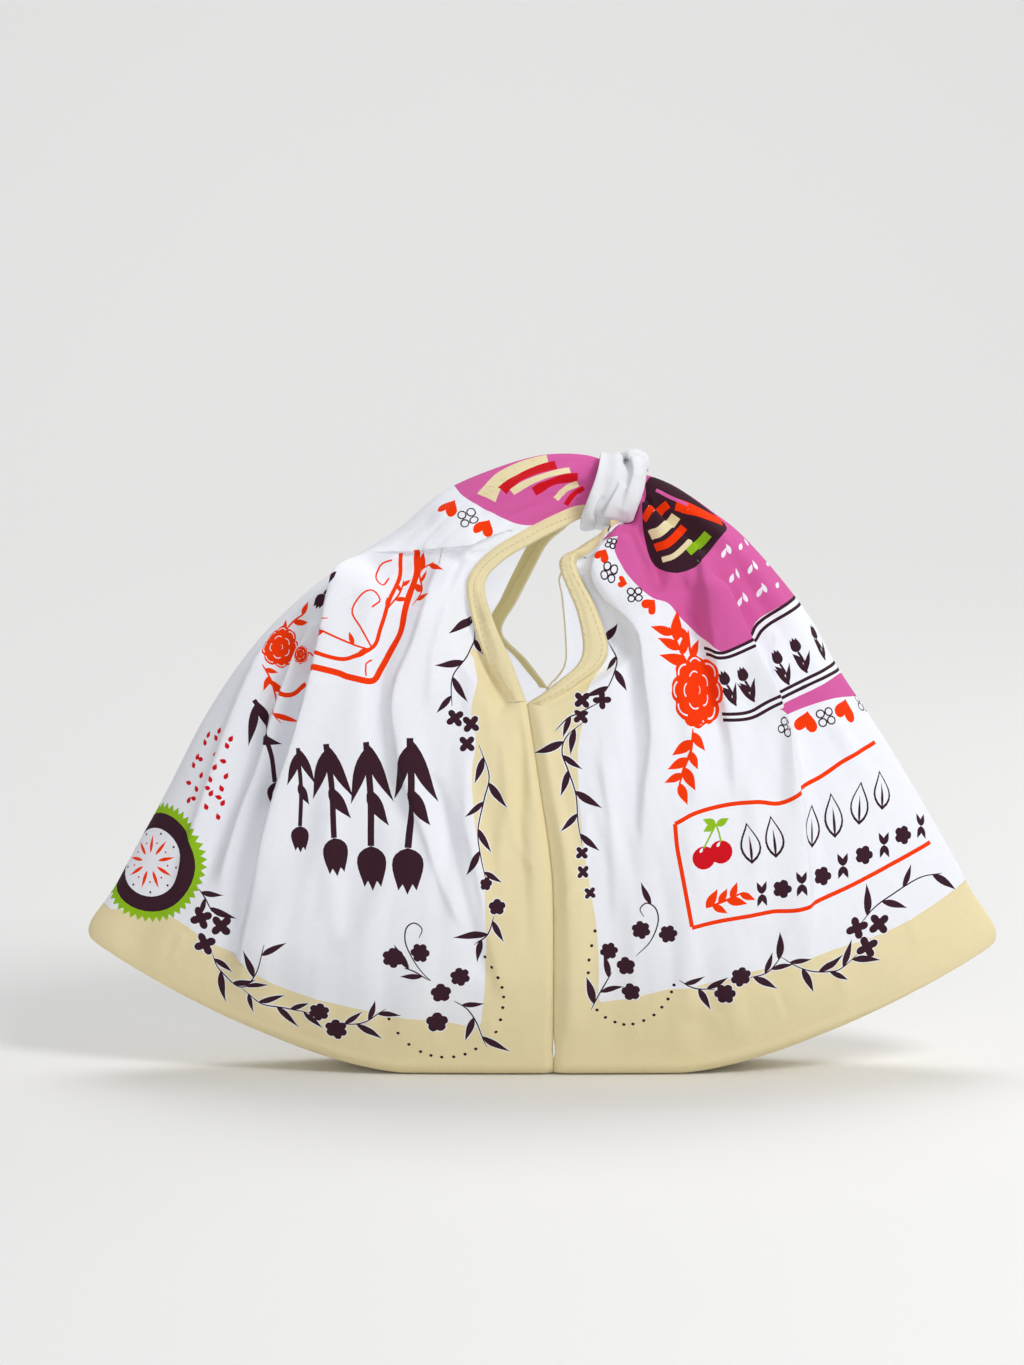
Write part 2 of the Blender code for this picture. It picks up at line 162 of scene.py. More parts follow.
def cotton_material(name, pucker, painted_glow):
    """Matt cotton, coloured by the mesh's inks; its reverse glows with painted light, in place of the light
    that comes through the cloth.
    """
    material = bpy.data.materials.new(name)
    material.use_nodes = True
    nodes, links = material.node_tree.nodes, material.node_tree.links
    shader = nodes["Principled BSDF"]
    for socket, value in (("Sheen Weight", 0.04), ("Sheen Roughness", 0.5), ("Specular IOR Level", 0.12),
                          ("Emission Strength", painted_glow)):
        shader.inputs[socket].default_value = value
    threads = nodes.new("ShaderNodeUVMap")
    threads.uv_map = "threads"
    weave = nodes.new("ShaderNodeGroup")
    weave.node_tree = COTTON_WEAVE
    weave.inputs["Pitch"].default_value = THREAD_PITCH
    weave.inputs["Pucker"].default_value = pucker
    links.new(threads.outputs["UV"], weave.inputs["Threads"])
    ink = nodes.new("ShaderNodeVertexColor")
    ink.layer_name = "ink"
    tint, through = nodes.new("ShaderNodeMix"), nodes.new("ShaderNodeMix")
    tint.data_type = through.data_type = "RGBA"
    tint.blend_type = "MULTIPLY"
    tint.inputs["Factor"].default_value = 1.0
    links.new(ink.outputs["Color"], tint.inputs[6])
    links.new(weave.outputs["Shade"], tint.inputs[7])
    # Painted light: the emission is the ink's colour, weighted by its alpha, glowing at the painted glow's
    # strength.
    through.inputs[6].default_value = (0.0, 0.0, 0.0, 1.0)
    links.new(ink.outputs["Alpha"], through.inputs["Factor"])
    links.new(tint.outputs[2], through.inputs[7])
    bump = nodes.new("ShaderNodeBump")
    bump.inputs["Strength"].default_value = 0.42
    bump.inputs["Distance"].default_value = 0.0003
    links.new(weave.outputs["Height"], bump.inputs["Height"])
    for outlet, socket in ((tint.outputs[2], "Base Color"), (weave.outputs["Roughness"], "Roughness"),
                           (bump.outputs["Normal"], "Normal"), (through.outputs[2], "Emission Color")):
        links.new(outlet, shader.inputs[socket])
    return material


# The squares' shape.  Each square is folded at the bag's side.  A row is one section of it, from
# hem to knot: front edge, side fold, back edge, how far the cloth between stands out, the widths
# of cream border and hem band, and how deep the cloth falls behind the band of the open rim.
UP_STEPS = 24
ACROSS_STEPS = 200
UNDER_STEPS = 14
SIDE_POWER = 0.5
BASE_FILLET = 9.0
BASE_FLAT = 76.0
HALF_WIDTH = 249.5
CORNER_BULGE = 4.5
SEAM_GAP = 0.3
V_ROW = 4
BORDER, BAND, FALL = 10, 11, 12
RIPPLES = [(47.0, 1.2), (31.0, 0.7), (18.0, 0.22), (10.0, 0.06)]
LEFT_SECTIONS = [
    # name front_x front_y front_z side_x side_z back_x back_y back_z full_f full_b border band fall
    ("hem", 6, -28, 9, -249.5, 72.1, 6, 28, 9, 0, 0, 39, 8, 0),
    ("skirt", 5.9, -42, 60, -231, 110, 5.9, 40, 60, 5, 5, 36, 8, 0),
    ("waist", 5, -48, 115, -208, 152, 5, 47, 113, 6, 6, 37, 8, 0),
    ("breast", -1.6, -48, 164, -184, 198, 3, 48, 162, 6, 6, 40, 8, 0),
    ("v_point", -8.5, -46, 208.8, -158, 235.5, 3, 46, 206, 6, 4, 33, 8, 1),
    ("rim_low", -17, -42, 231, -131, 263, -9, 43, 222, 6, 3, 22, 12.5, 6),
    ("rim_mid", -27, -37, 254, -106, 282, -22.5, 41, 238, 6, 3, 11.5, 10.5, 6),
    ("rim_top", -31.5, -31, 273, -79, 299.5, -14, 36, 256, 5, 3, 9.5, 8.5, 4),
    ("turn", -22, -27, 285, -55, 319.5, -5, 31, 274, 4, 2, 9.5, 8, 3),
    ("strap", -3.5, -22, 295.5, -27, 332.3, 3, 26, 289, 3, 2, 9, 7.5, 2),
    ("neck", 12, -16, 302.5, 0, 340, 13, 19, 298.5, 2, 1, 8, 7, 1.5),
    ("mouth", 21.5, -12, 306.5, 24, 340, 21.5, 13, 307, 1, 1, 7, 6, 0),
    ("end", 34, -9, 306, 39.5, 334, 34, 9, 306.5, 0, 0, 7, 6, 0),
]
RIGHT_SECTIONS = [
    ("hem", 6, -28, 9, 249.5, 69.3, 6, 28, 9, 0, 0, 28, 8, 0),
    ("skirt", 5.9, -42, 60, 232, 108, 5.9, 40, 60, 5, 5, 27, 8, 0),
    ("waist", 5, -48, 115, 208.4, 150, 5, 47, 113, 6, 6, 21, 8, 0),
    ("breast", -1.6, -48, 164, 185, 188.5, 3, 48, 162, 6, 6, 19.5, 8, 0),
    ("v_point", -8.5, -46, 208.8, 163, 221.5, 3, 46, 206, 5, 4, 32, 6, 0.5),
    ("rim_low", 6, -46, 220, 147, 250, 12.5, 42, 219, 4, 3, 19, 11, 3),
    ("rim_mid", 21, -42, 234.5, 128, 275, 13, 39, 236, 4, 3, 15, 13.5, 6),
    ("rim_top", 19, -36, 257, 108, 297, 11, 34, 258, 4, 3, 12, 10.5, 8),
    ("kink", 9, -31, 284, 92, 309.5, 9.5, 30, 271, 4, 2, 10, 8.5, 7),
    ("turn", 19, -25, 292, 80, 318, 18, 23, 283, 4, 2, 10.5, 9, 5),
    ("neck", 31, -18, 299, 69, 324.5, 30, 14, 291, 1.5, 1.5, 14, 12.5, 2.5),
    ("mouth", 41, -11, 306, 57, 329, 44, 11, 301.5, 1, 1, 12, 10.5, 0),
    ("end", 41.5, -8, 306, 45, 331, 41.5, 9, 306, 0, 0, 6, 5, 0),
]
# The folds: each has its line up the cloth (x, z), its height where the line starts and ends
# (a trough's is negative), its width to the left and to the right of the line, and how far it
# leans over its steeper side.
LEFT_FRONT_FOLDS = [
    # name line from to left right lean
    ("deep_pleat", [(-165, 44), (-158, 90), (-141, 150), (-129, 180), (-118, 210), (-108, 243), (-101, 266),
     (-93, 284)], 5, 13, 4, 30, 0.3),
    ("pleat_lip", [(-158, 90), (-141, 150), (-129, 180), (-118, 210), (-108, 243), (-101, 266), (-93, 284)],
     2.5, 7, 2, 8, 0.8),
    ("pleat_bed", [(-172, 60), (-154, 130), (-139, 180), (-127, 214), (-116, 246), (-106, 272)], -4, -9, 12,
     5, 0),
    ("far_ridge", [(-178, 96), (-164, 142), (-152, 172), (-143, 200), (-133, 226), (-124, 248)], 3, 8, 3.5,
     5, 0.4),
    ("far_trough", [(-186, 100), (-172, 142), (-161, 172), (-152, 200), (-141, 226), (-132, 250)], -3, -6,
     5, 3, 0),
    ("far_crease", [(-204, 92), (-188, 140), (-172, 186), (-160, 214), (-148, 240)], 2, 5, 3, 5, 0.3),
    ("shoulder", [(-96, 285), (-72, 290.5), (-50, 295.5), (-32, 299)], 6, 7, 12, 2, 0.9),
    ("shoulder_bed", [(-92, 275), (-64, 281), (-40, 289)], -4, -5, 4, 9, 0),
    ("mid_trough", [(-72, 136), (-80, 167), (-86, 194), (-86, 222), (-74, 255), (-65, 284)], -2.5, -4.5, 10,
     4, 0),
    ("mid_ridge", [(-36, 76), (-51, 106), (-62, 139), (-72, 166), (-77, 191), (-77, 216), (-65, 246),
     (-56, 282)], 2, 5, 3, 9, 0.4),
    ("soft_ridge", [(-61, 205), (-57, 238), (-48, 266), (-40, 286)], 1.6, 3.4, 3, 5, 0.3),
    ("band_hollow", [(-18, 205), (-26, 222), (-32, 244), (-36, 266)], -3, -4, 6, 4, 0),
    ("vine_trough", [(-31, 54), (-37, 83), (-44, 111), (-50, 139), (-57, 166)], -2.4, -3.4, 7, 3, 0),
    ("vine_ridge", [(-21, 44), (-26, 72), (-31, 100), (-36, 124), (-42, 150)], 1.5, 3, 3, 7, 0.3),
    ("seam_trough", [(-8, 66), (-9, 111), (-12, 144), (-10, 177), (-11, 206)], -1.2, -3, 4, 3, 0),
    ("cream_ridge", [(-20, 80), (-23, 122), (-19, 161), (-21, 200)], 1, 3, 4, 5, 0.2),
    ("pull_1", [(-98, 160), (-96, 200), (-93, 232), (-86, 262), (-78, 284)], 0.8, 3, 6, 3, 0.3),
    ("pull_2", [(-110, 70), (-114, 120), (-112, 160)], 1.2, 2, 6, 5, 0),
    ("strap_ridge", [(-64, 306), (-36, 318), (-6, 327), (24, 334)], 1.5, 4, 4, 6, 0.2),
    ("strap_trough", [(-40, 310), (-14, 316), (8, 321), (26, 325)], -1, -3.6, 4, 5, 0),
    ("strap_pinch", [(-10, 302), (8, 308), (26, 317)], -0.8, -2.8, 3.6, 3.2, 0),
    ("seam_pull", [(-3, 118), (-14, 134), (-18, 160)], 0.6, 1.4, 3, 2.4, 0),
    ("hem_crease_1", [(-158, 58), (-163, 46), (-167, 34)], 1.2, 0.8, 2.2, 3, 0),
    ("hem_crease_2", [(-126, 44), (-132, 24)], 1, 0.8, 2.6, 2.2, 0),
    ("hem_crease_3", [(-94, 36), (-98, 17)], 0.9, 0.7, 2.4, 3, 0),
    ("hem_crease_4", [(-60, 30), (-57, 13)], 0.8, 0.8, 3, 2.2, 0),
    ("hem_crease_5", [(-26, 34), (-30, 12)], 0.8, 0.7, 2.2, 3, 0),
    ("hem_crease_6", [(-196, 80), (-205, 62)], 1, 0.8, 3, 2.4, 0),
]
RIGHT_FRONT_FOLDS = [
    ("cone_edge", [(54, 120), (55.5, 155), (60, 191), (57, 222), (54, 248), (44, 261), (34, 270), (30, 282),
     (36, 297)], 1.6, 9, 3, 13, 0.5),
    ("vine_hollow", [(50, 130), (50, 177), (48, 211), (45, 238), (37, 256)], -1.5, -5, 7, 4, 0),
    ("long_ridge", [(144, 56), (142, 111), (132, 179), (121, 213), (107, 238), (95, 260), (84, 280)], 2.5,
     8, 12, 3.2, 0.4),
    ("ridge_lip", [(142, 120), (132, 179), (121, 213), (107, 238), (95, 260), (85, 279)], 1, 5.5, 7, 2,
     0.7),
    ("ridge_bed", [(154, 90), (148, 150), (134, 206), (116, 243), (96, 272)], -2, -7, 4, 9, 0),
    ("pink_edge", [(105, 150), (104, 178), (101, 200), (96, 222), (91, 244), (85, 266), (83, 284)], 1.2, 6,
     2.4, 7, 0.5),
    ("pink_bed", [(99, 160), (96, 190), (90, 222), (84, 246), (78, 268)], -1.5, -7, 8, 3, 0),
    ("stripe_ridge", [(84, 285), (72, 294), (60, 304), (50, 312)], 6, 8, 7, 3, 0.4),
    ("stripe_hollow", [(92, 290), (80, 300), (68, 309), (58, 316)], -6, -9, 3.6, 6, 0),
    ("knot_shade", [(64, 268), (60, 285), (53, 299), (46, 310)], -4, -6.5, 5, 4, 0),
    ("pink_ridge", [(60, 256), (54, 274), (48, 290), (45, 300)], 2, 4.5, 7, 5, 0),
    ("top_ridge", [(176, 150), (158, 206), (134, 250), (112, 282), (86, 308)], 2, 4.5, 5, 7, 0.2),
    ("word_trough", [(146, 216), (134, 242), (118, 266), (104, 288)], -2, -5, 4, 6, 0),
    ("word_crease", [(134, 150), (132, 178), (130, 211), (127, 238)], 1.2, 4, 2.6, 8, 0.4),
    ("word_bed", [(128, 150), (126, 178), (124, 206)], -1.2, -3, 5, 2.6, 0),
    ("hip_crease", [(112, 80), (116, 130), (112, 170)], 1, 2.6, 5, 6, 0.2),
    ("low_ridge", [(80, 30), (82, 90), (78, 150)], 1.5, 3, 8, 8, 0.2),
    ("vine_crease", [(40, 90), (38, 140), (32, 184)], 1, 2.4, 3, 5, 0.3),
    ("blossom_crease", [(84, 150), (80, 190), (72, 226)], 1.2, 3, 4, 5, 0.2),
    ("seam_ridge", [(16, 16), (15, 60), (13, 110), (6, 160), (-1, 200)], 1, 2.4, 4, 6, 0),
    ("seam_pull", [(8, 96), (20, 120), (24, 150)], 0.6, 1.3, 2.6, 3, 0),
    ("hem_crease_1", [(156, 70), (162, 56), (166, 42)], 1.2, 0.9, 3, 2.2, 0),
    ("hem_crease_2", [(139, 96), (131, 76)], 0.9, 0.7, 2.4, 3, 0),
    ("hem_crease_3", [(94, 38), (100, 18)], 0.9, 0.8, 2.4, 3, 0),
    ("hem_crease_4", [(52, 30), (49, 12)], 0.8, 0.8, 3, 2.4, 0),
    ("hem_crease_5", [(126, 50), (133, 28)], 1, 0.8, 2.2, 3, 0),
    ("hem_crease_6", [(200, 92), (207, 70)], 1, 0.8, 2.4, 3, 0),
]
LEFT_BACK_FOLDS = [
    ("back_pleat", [(-150, 60), (-126, 150), (-112, 222), (-88, 276)], 2, 10, 28, 8, 0.2),
    ("back_bed", [(-128, 62), (-108, 150), (-94, 220), (-76, 262)], -2, -7, 10, 14, 0),
    ("back_ridge", [(-60, 50), (-56, 130), (-48, 210)], 1.5, 4, 14, 16, 0),
    ("back_side", [(-205, 104), (-176, 180), (-140, 240)], -1, -3.5, 12, 12, 0),
    ("back_strap", [(-84, 284), (-48, 300), (-8, 316)], 2, 5, 8, 8, 0),
]
RIGHT_BACK_FOLDS = [
    ("back_pleat", [(168, 60), (146, 150), (122, 222), (84, 288)], 2, 10, 8, 26, 0.2),
    ("back_bed", [(148, 62), (128, 150), (104, 220), (74, 276)], -2, -7, 14, 10, 0),
    ("back_ridge", [(66, 50), (60, 130), (50, 206)], 1.5, 4, 16, 14, 0),
    ("back_side", [(214, 104), (188, 172), (152, 228)], -1, -3.5, 12, 12, 0),
    ("back_strap", [(104, 268), (84, 290), (58, 308)], 2, 5, 8, 8, 0),
]


def unit(vectors):
    """The same directions, each one long."""
    return vectors / np.maximum(np.linalg.norm(vectors, axis=-1, keepdims=True), 1e-9)


def smooth_steps(value, low, high):
    """Zero below low, one above high, with an even slope between."""
    share = np.clip((value - low) / (high - low), 0.0, 1.0)
    return share * share * (3.0 - 2.0 * share)


def through_points(points, where):
    """The smooth curve through the points, read at places counted in points from zero."""
    points = np.asarray(points, dtype=float)
    last = len(points) - 1
    if last == 1:
        return points[0] + (points[1] - points[0]) * where[:, None]
    padded = np.vstack([2 * points[0] - points[1], points, 2 * points[-1] - points[-2]])
    start = np.minimum(where.astype(int), last - 1)
    u = (where - start)[:, None]
    before, here, after, beyond = (padded[start + k] for k in range(4))
    return 0.5 * (2 * here + (after - before) * u
                  + (2 * before - 5 * here + 4 * after - beyond) * u ** 2
                  + (3 * here - before - 3 * after + beyond) * u ** 3)


def edge_curve(points, where):
    """An inner edge: one smooth curve up the seam and another up the rim, meeting at the V."""
    seam = through_points(points[:V_ROW + 1], np.minimum(where, V_ROW))
    rim = through_points(points[V_ROW:], np.maximum(where - V_ROW, 0.0))
    return np.where((where <= V_ROW)[:, None], seam, rim)


def hem_lift(x, corner):
    """How high the bottom seam runs at x: flat in the middle, raised at the corners."""
    past = np.clip((np.abs(x) - BASE_FLAT) / (HALF_WIDTH - BASE_FLAT), 0.0, 1.0)
    return corner * past ** 1.5


def evenly_spaced(points, count):
    """The same line with count + 1 points an even distance apart, and its length."""
    steps = np.linalg.norm(np.diff(points, axis=0), axis=1)
    length = np.concatenate([[0.0], np.cumsum(steps)])
    wanted = np.linspace(0.0, length[-1], count + 1)
    return np.stack([np.interp(wanted, length, points[:, k]) for k in range(3)], axis=1), length[-1]


def half_section(edge, side, full, across, bow):
    """One half of a section, from its inner edge to the fold at the bag's side."""
    x = edge[0] + (side[0] - edge[0]) * across
    z = edge[2] + (side[1] - edge[2]) * across + bow
    depth = (1.0 - across ** 2) ** SIDE_POWER * (abs(edge[1]) + full * np.sin(math.pi * across) ** 2)
    return np.stack([x, math.copysign(1.0, edge[1]) * depth, z], axis=1)


def under_rows(edge, corner):
    """The turn below the hem row and the flat on to the bottom seam, lowest row first."""
    depth = np.abs(edge[:, 1])
    sign = np.sign(edge[:, 1])
    radius = np.clip(edge[:, 2] - hem_lift(edge[:, 0], corner), 0.0, depth)
    arc = radius * math.pi / 2
    length = arc + depth - radius
    rows = []
    for k in range(UNDER_STEPS):
        along = length * (1.0 - k / UNDER_STEPS)
        angle = np.where(radius > 0.01, np.minimum(along, arc) / np.maximum(radius, 0.01), 0.0)
        flat = np.maximum(along - arc, 0.0)
        rows.append(np.stack([edge[:, 0], sign * (depth - radius * (1 - np.cos(angle)) - flat),
                              edge[:, 2] - radius * np.sin(angle)], axis=1))
    return np.array(rows), length


def grid_normals(grid, facing):
    """Directions square to the cloth at each point, away from the bag's inside."""
    return unit(np.cross(np.gradient(grid, axis=0), np.gradient(grid, axis=1)) * facing)


def fold_push(grid, normals, line, start, end, left, right, lean):
    """How one fold moves each place of the cloth: out or in, and over its steeper side."""
    path = through_points(line, np.linspace(0.0, len(line) - 1, 25))
    place = grid[..., (0, 2)]
    reach = 2.6 * max(left, right)
    low, high = path.min(axis=0) - reach, path.max(axis=0) + reach
    near = ((place > low) & (place < high)).all(axis=-1)
    place = place[near][:, None, :]
    begin, run = path[:-1], np.diff(path, axis=0)
    share = np.clip(((place - begin) * run).sum(-1) / (run ** 2).sum(-1), 0.0, 1.0)
    off = place - begin - share[..., None] * run
    nearest = np.argmin((off ** 2).sum(-1), axis=-1)
    pick = np.arange(len(nearest))
    off = off[pick, nearest]
    along = (nearest + share[pick, nearest]) / len(run)
    run = run[nearest]
    to_right = off[:, 0] * run[:, 1] - off[:, 1] * run[:, 0]
    width = np.where(to_right > 0, right, left)
    ends = smooth_steps(along, 0.0, 0.12) * (1.0 - 0.6 * smooth_steps(along, 0.85, 1.0))
    height = (start + (end - start) * along) * ends * np.exp(-(off ** 2).sum(-1) / width ** 2)
    sideways = np.stack([run[:, 1], np.zeros(len(run)), -run[:, 0]], axis=1)
    sideways *= math.copysign(1.0, left - right) / np.linalg.norm(run, axis=1, keepdims=True)
    push = np.zeros(grid.shape)
    push[near] = height[:, None] * (normals[near] + lean * sideways)
    return push


def rim_push(grid, normals, table, widths, where, columns):
    """The hem's band stands along the open rim, and the cloth falls away behind it."""
    push = np.zeros(grid.shape)
    wall = through_points(table[:, BAND:BAND + 1], where)
    fall = through_points(table[:, FALL:FALL + 1], where)
    fall = fall * smooth_steps(where, V_ROW - 0.6, V_ROW + 1.0)[:, None]
    open_rim = smooth_steps(where, V_ROW - 0.05, V_ROW + 0.4)[:, None]
    share = 1.0 - np.abs(columns)
    for half, strength, inward in ((0, 1.0, 1.0), (1, 0.25, -1.0)):
        on_half = (columns > 0) == (half == 1)
        off = share[None, :] * widths[half][:, None]
        into = unit(np.gradient(grid, axis=1) * inward)
        drop = smooth_steps(off, wall - 0.8, wall + 2.8)
        drop = drop * (1.0 - smooth_steps(off, wall + 3.5, wall + 4.0 + (3.0 + 1.5 * fall)))
        tuck = np.exp(-((off - wall - 2.6) / 2.4) ** 2) * np.minimum(fall * 0.3, 2.0)
        crown = 0.8 * np.sin(math.pi * np.clip(off / wall, 0.0, 1.0)) * open_rim
        stitched = 0.45 * np.exp(-((off - 2.4) / 0.8) ** 2) * open_rim
        valley = 2.2 * np.exp(-(off / 2.6) ** 2) * (1.0 - open_rim)
        out = crown - stitched - valley - strength * fall * drop
        moved = normals * out[..., None] - into * (strength * tuck)[..., None]
        push += moved * on_half[None, :, None]
    return push


def ripples(across, up, side):
    """Slight unevenness all over the cloth: soft pulls down from the knot that come and go."""
    height = np.zeros(np.broadcast(across, up).shape)
    for k, (wave, size) in enumerate(RIPPLES):
        seed = 2.4 * k + 1.3 * side
        turn = 2 * math.pi * (across / wave + 0.4 * np.sin(up / 71.0 + seed)
                              + 0.1 * np.sin(up / 23.0 + 2 * seed))
        here = 0.5 + 0.5 * np.sin(up / (19.0 + wave) + across / (1.7 * wave) + 3 * seed)
        height += size * here * (np.sin(turn + seed) + 0.3 * np.cos(2 * turn + seed))
    return height


def shaped_square(sections, front_folds, back_folds, side):
    """The square's face as a fine grid of points with its normals and its flat measures."""
    table = np.array([row[1:] for row in sections])
    where = np.linspace(0.0, len(sections) - 1, (len(sections) - 1) * UP_STEPS + 1)
    edges = [edge_curve(table[:, 0:3], where), edge_curve(table[:, 5:8], where)]
    full = through_points(table[:, 8:10], where)
    side_fold = through_points(table[:, 3:5], where)
    near_hem = np.clip(where, 0.0, 1.0)
    side_fold[:, 0] += side * CORNER_BULGE * 9.5 * near_hem * (1.0 - near_hem) ** 3
    across = np.sin(np.linspace(0.0, math.pi / 2, 400))
    start, corner = edges[0][0], side_fold[0, 1]
    hem_x = start[0] + (side_fold[0, 0] - start[0]) * across
    straight = start[2] + (corner - start[2]) * across
    turn_height = np.minimum(BASE_FILLET, BASE_FILLET * 2.5 * (1 - across))
    bow_at_hem = hem_lift(hem_x, corner) + turn_height - straight
    rows, widths = [], []
    for k, up in enumerate(where):
        bow = bow_at_hem * (1.0 - up / where[-1]) ** 1.3
        front, back = (
            evenly_spaced(half_section(edge[k], side_fold[k], full[k, n], across, bow), ACROSS_STEPS)
            for n, edge in enumerate(edges))
        rows.append(np.vstack([front[0], back[0][-2::-1]]))
        widths.append((front[1], back[1]))
    grid, widths = np.array(rows), np.array(widths).T
    columns = np.linspace(-1.0, 1.0, 2 * ACROSS_STEPS + 1)
    normals = grid_normals(grid, -side)
    rise = np.linalg.norm(np.diff(grid, axis=0), axis=2).mean(axis=1)
    heights = np.concatenate([[0.0], np.cumsum(rise)])

    span = np.where(columns > 0, widths[1][:, None], widths[0][:, None])
    push = np.zeros(grid.shape)
    for folds, half in ((front_folds, columns <= 0), (back_folds, columns > 0)):
        for name, *measures in folds:
            push += fold_push(grid, normals, *measures) * half[None, :, None]
    shrink = np.sqrt(span / span[0])
    push += normals * (ripples(columns[None, :] * span[0], heights[:, None], side) * shrink)[..., None]
    fading = (smooth_steps(np.abs(columns) * span, 2.0, 22.0)
              * smooth_steps((1.0 - np.abs(columns)) * span, 1.0, 7.0))
    last = where[-1]
    up_fading = smooth_steps(where, 0.0, 0.5) * (1.0 - smooth_steps(where, last - 1.0, last - 0.2))
    push *= (fading * up_fading[:, None])[..., None]
    grid = grid + (push + rim_push(grid, normals, table, widths, where, columns))
    grid[..., 0] += side * SEAM_GAP / 2
    below, under_length = under_rows(grid[0], corner)
    grid = np.concatenate([below, grid])
    return {
        "side": side, "table": table, "where": where, "columns": columns, "grid": grid,
        "normals": grid_normals(grid, -side), "widths": widths, "heights": heights,
        "under": under_length, "known": {}, "shapes": [],
    }


def chart_width(square, y, half):
    """How wide the cloth's flat chart is at height y, on its front half (0) or back half (1)."""
    row = np.interp(y, square["heights"], np.arange(len(square["heights"])))
    return np.interp(row, np.arange(square["widths"].shape[1]), square["widths"][half])


def width_at(square, chart):
    """How wide the chart is beside each place of it."""
    front, back = (chart_width(square, chart[:, 1], half) for half in (0, 1))
    return np.where(chart[:, 0] > 0, back, front)


def cloth_at(square, chart):
    """The cloth's points and normals at places of its flat chart."""
    x, y = chart[:, 0], chart[:, 1]
    column = ACROSS_STEPS * (1.0 + np.clip(x / width_at(square, chart), -1.0, 1.0))
    under = np.interp(column, np.arange(2 * ACROSS_STEPS + 1), square["under"])
    below = UNDER_STEPS * (1.0 + np.clip(y / np.maximum(under, 0.01), -1.0, 0.0))
    row = np.interp(y, square["heights"], np.arange(len(square["heights"]))) + UNDER_STEPS
    row = np.where(y >= 0, row, below)
    i = np.minimum(row.astype(int), square["grid"].shape[0] - 2)
    j = np.minimum(column.astype(int), square["grid"].shape[1] - 2)
    u, v = (row - i)[:, None], (column - j)[:, None]
    points, normals = ((values[i, j] * (1 - u) + values[i + 1, j] * u) * (1 - v)
                       + (values[i, j + 1] * (1 - u) + values[i + 1, j + 1] * u) * v
                       for values in (square["grid"], square["normals"]))
    return points, unit(normals)


def section_at(square, heights, column):
    """One measure of the table of sections, at heights of the chart."""
    section = np.interp(heights, square["heights"], square["where"])
    return through_points(square["table"][:, column:column + 1], section)[:, 0]


def section_height(square, where):
    """The chart's height at a place counted in sections from the hem."""
    return np.interp(where, square["where"], square["heights"])


# The print.  Screen printed inks on the white cotton: a cream border with vines and dotted
# arcs, orange frames, pink fields and hearts.  A shape is an outline in millimetres laid on
# the cloth, so that it bends with the folds; later shapes print over earlier ones.
HALO = 0.5
HALO_LAYER, INK_LAYER, RIM_LAYER = 3, 4, 9
HEM_OVERLAP = 1.2
CURVE_STEP = 2.2
SLOPE_STEP = 0.4
RING_LINE = 0.8
ARC_DOT = 1.0
FLOWER_SCALE = 1.1
FOUR_PETAL_NOTCH, ROUND_PETAL_NOTCH = 0.62, 0.27


def chart_from_photo(square, pixels):
    """Places of the chart that show at these pixels of the front view."""
    if "photo" not in square:
        square["photo"] = photo_place(square["grid"][UNDER_STEPS:, :ACROSS_STEPS + 1])
    shown = square["photo"]
    places = []
    for pixel in np.atleast_2d(np.asarray(pixels, dtype=float)):
        key = tuple(pixel.round(2))
        if key not in square["known"]:
            miss = (shown[..., 0] - pixel[0]) ** 2 + (shown[..., 1] - pixel[1]) ** 2
            i, j = np.unravel_index(np.argmin(miss), miss.shape)
            i = min(max(i, 1), shown.shape[0] - 2)
            j = min(max(j, 1), shown.shape[1] - 2)
            steps = np.stack([(shown[i + 1, j] - shown[i - 1, j]) / 2,
                              (shown[i, j + 1] - shown[i, j - 1]) / 2], axis=1)
            move = np.linalg.lstsq(steps, pixel - shown[i, j], rcond=None)[0]
            row, column = np.array([i, j]) + np.clip(move, -1.0, 1.0)
            height = np.interp(row, np.arange(len(square["heights"])), square["heights"])
            x = (column / ACROSS_STEPS - 1.0) * chart_width(square, height, 0)
            square["known"][key] = (min(x, -0.05), height)
        places.append(square["known"][key])
    return np.array(places)


def cloth_slopes(square, chart):
    """How the cloth's point moves with the chart's two directions, and its normal."""
    right, left, above, here = (cloth_at(square, chart + SLOPE_STEP * np.array(way))
                                for way in ((1, 0), (-1, 0), (0, 1), (0, 0)))
    steps = [(right[0] - left[0]) / (2 * SLOPE_STEP), (above[0] - here[0]) / SLOPE_STEP]
    return np.stack(steps, axis=2), here[1]


def widened(outline, by):
    """The outline moved outwards by this much."""
    before, after = np.roll(outline, 1, axis=0), np.roll(outline, -1, axis=0)
    run = unit(unit(after - outline) + unit(outline - before))
    area = np.sum(outline[:, 0] * after[:, 1] - after[:, 0] * outline[:, 1])
    return outline + math.copysign(by, area) * np.stack([run[:, 1], -run[:, 0]], axis=1)


def lay_shape(square, outline, chart, ink, along=(1.0, 0.0, 0.0), turn=0.0, layer=INK_LAYER,
              halo=0.0):
    """Prints one outline, in millimetres, at a place of the chart, turned from a direction."""
    slopes, normal = (found[0] for found in cloth_slopes(square, np.atleast_2d(chart)))
    turn, along = math.radians(turn), np.array(along)
    first = along - (along @ normal) * normal
    first /= max(np.linalg.norm(first), 1e-9)
    second = np.cross(normal, first)
    axes = np.stack([first * math.cos(turn) + second * math.sin(turn),
                     second * math.cos(turn) - first * math.sin(turn)], axis=1)
    to_chart = np.linalg.pinv(slopes) @ axes
    square["shapes"].append((layer, chart + outline @ to_chart.T, ink))
    if halo:
        square["shapes"].append((HALO_LAYER, chart + widened(outline, halo) @ to_chart.T, "white"))


def print_shape(square, outline, pixel, ink, turn=0.0, layer=INK_LAYER, halo=0.0):
    """Prints one outline where this pixel of the front view shows."""
    lay_shape(square, outline, chart_from_photo(square, pixel)[0], ink, turn=turn, layer=layer, halo=halo)


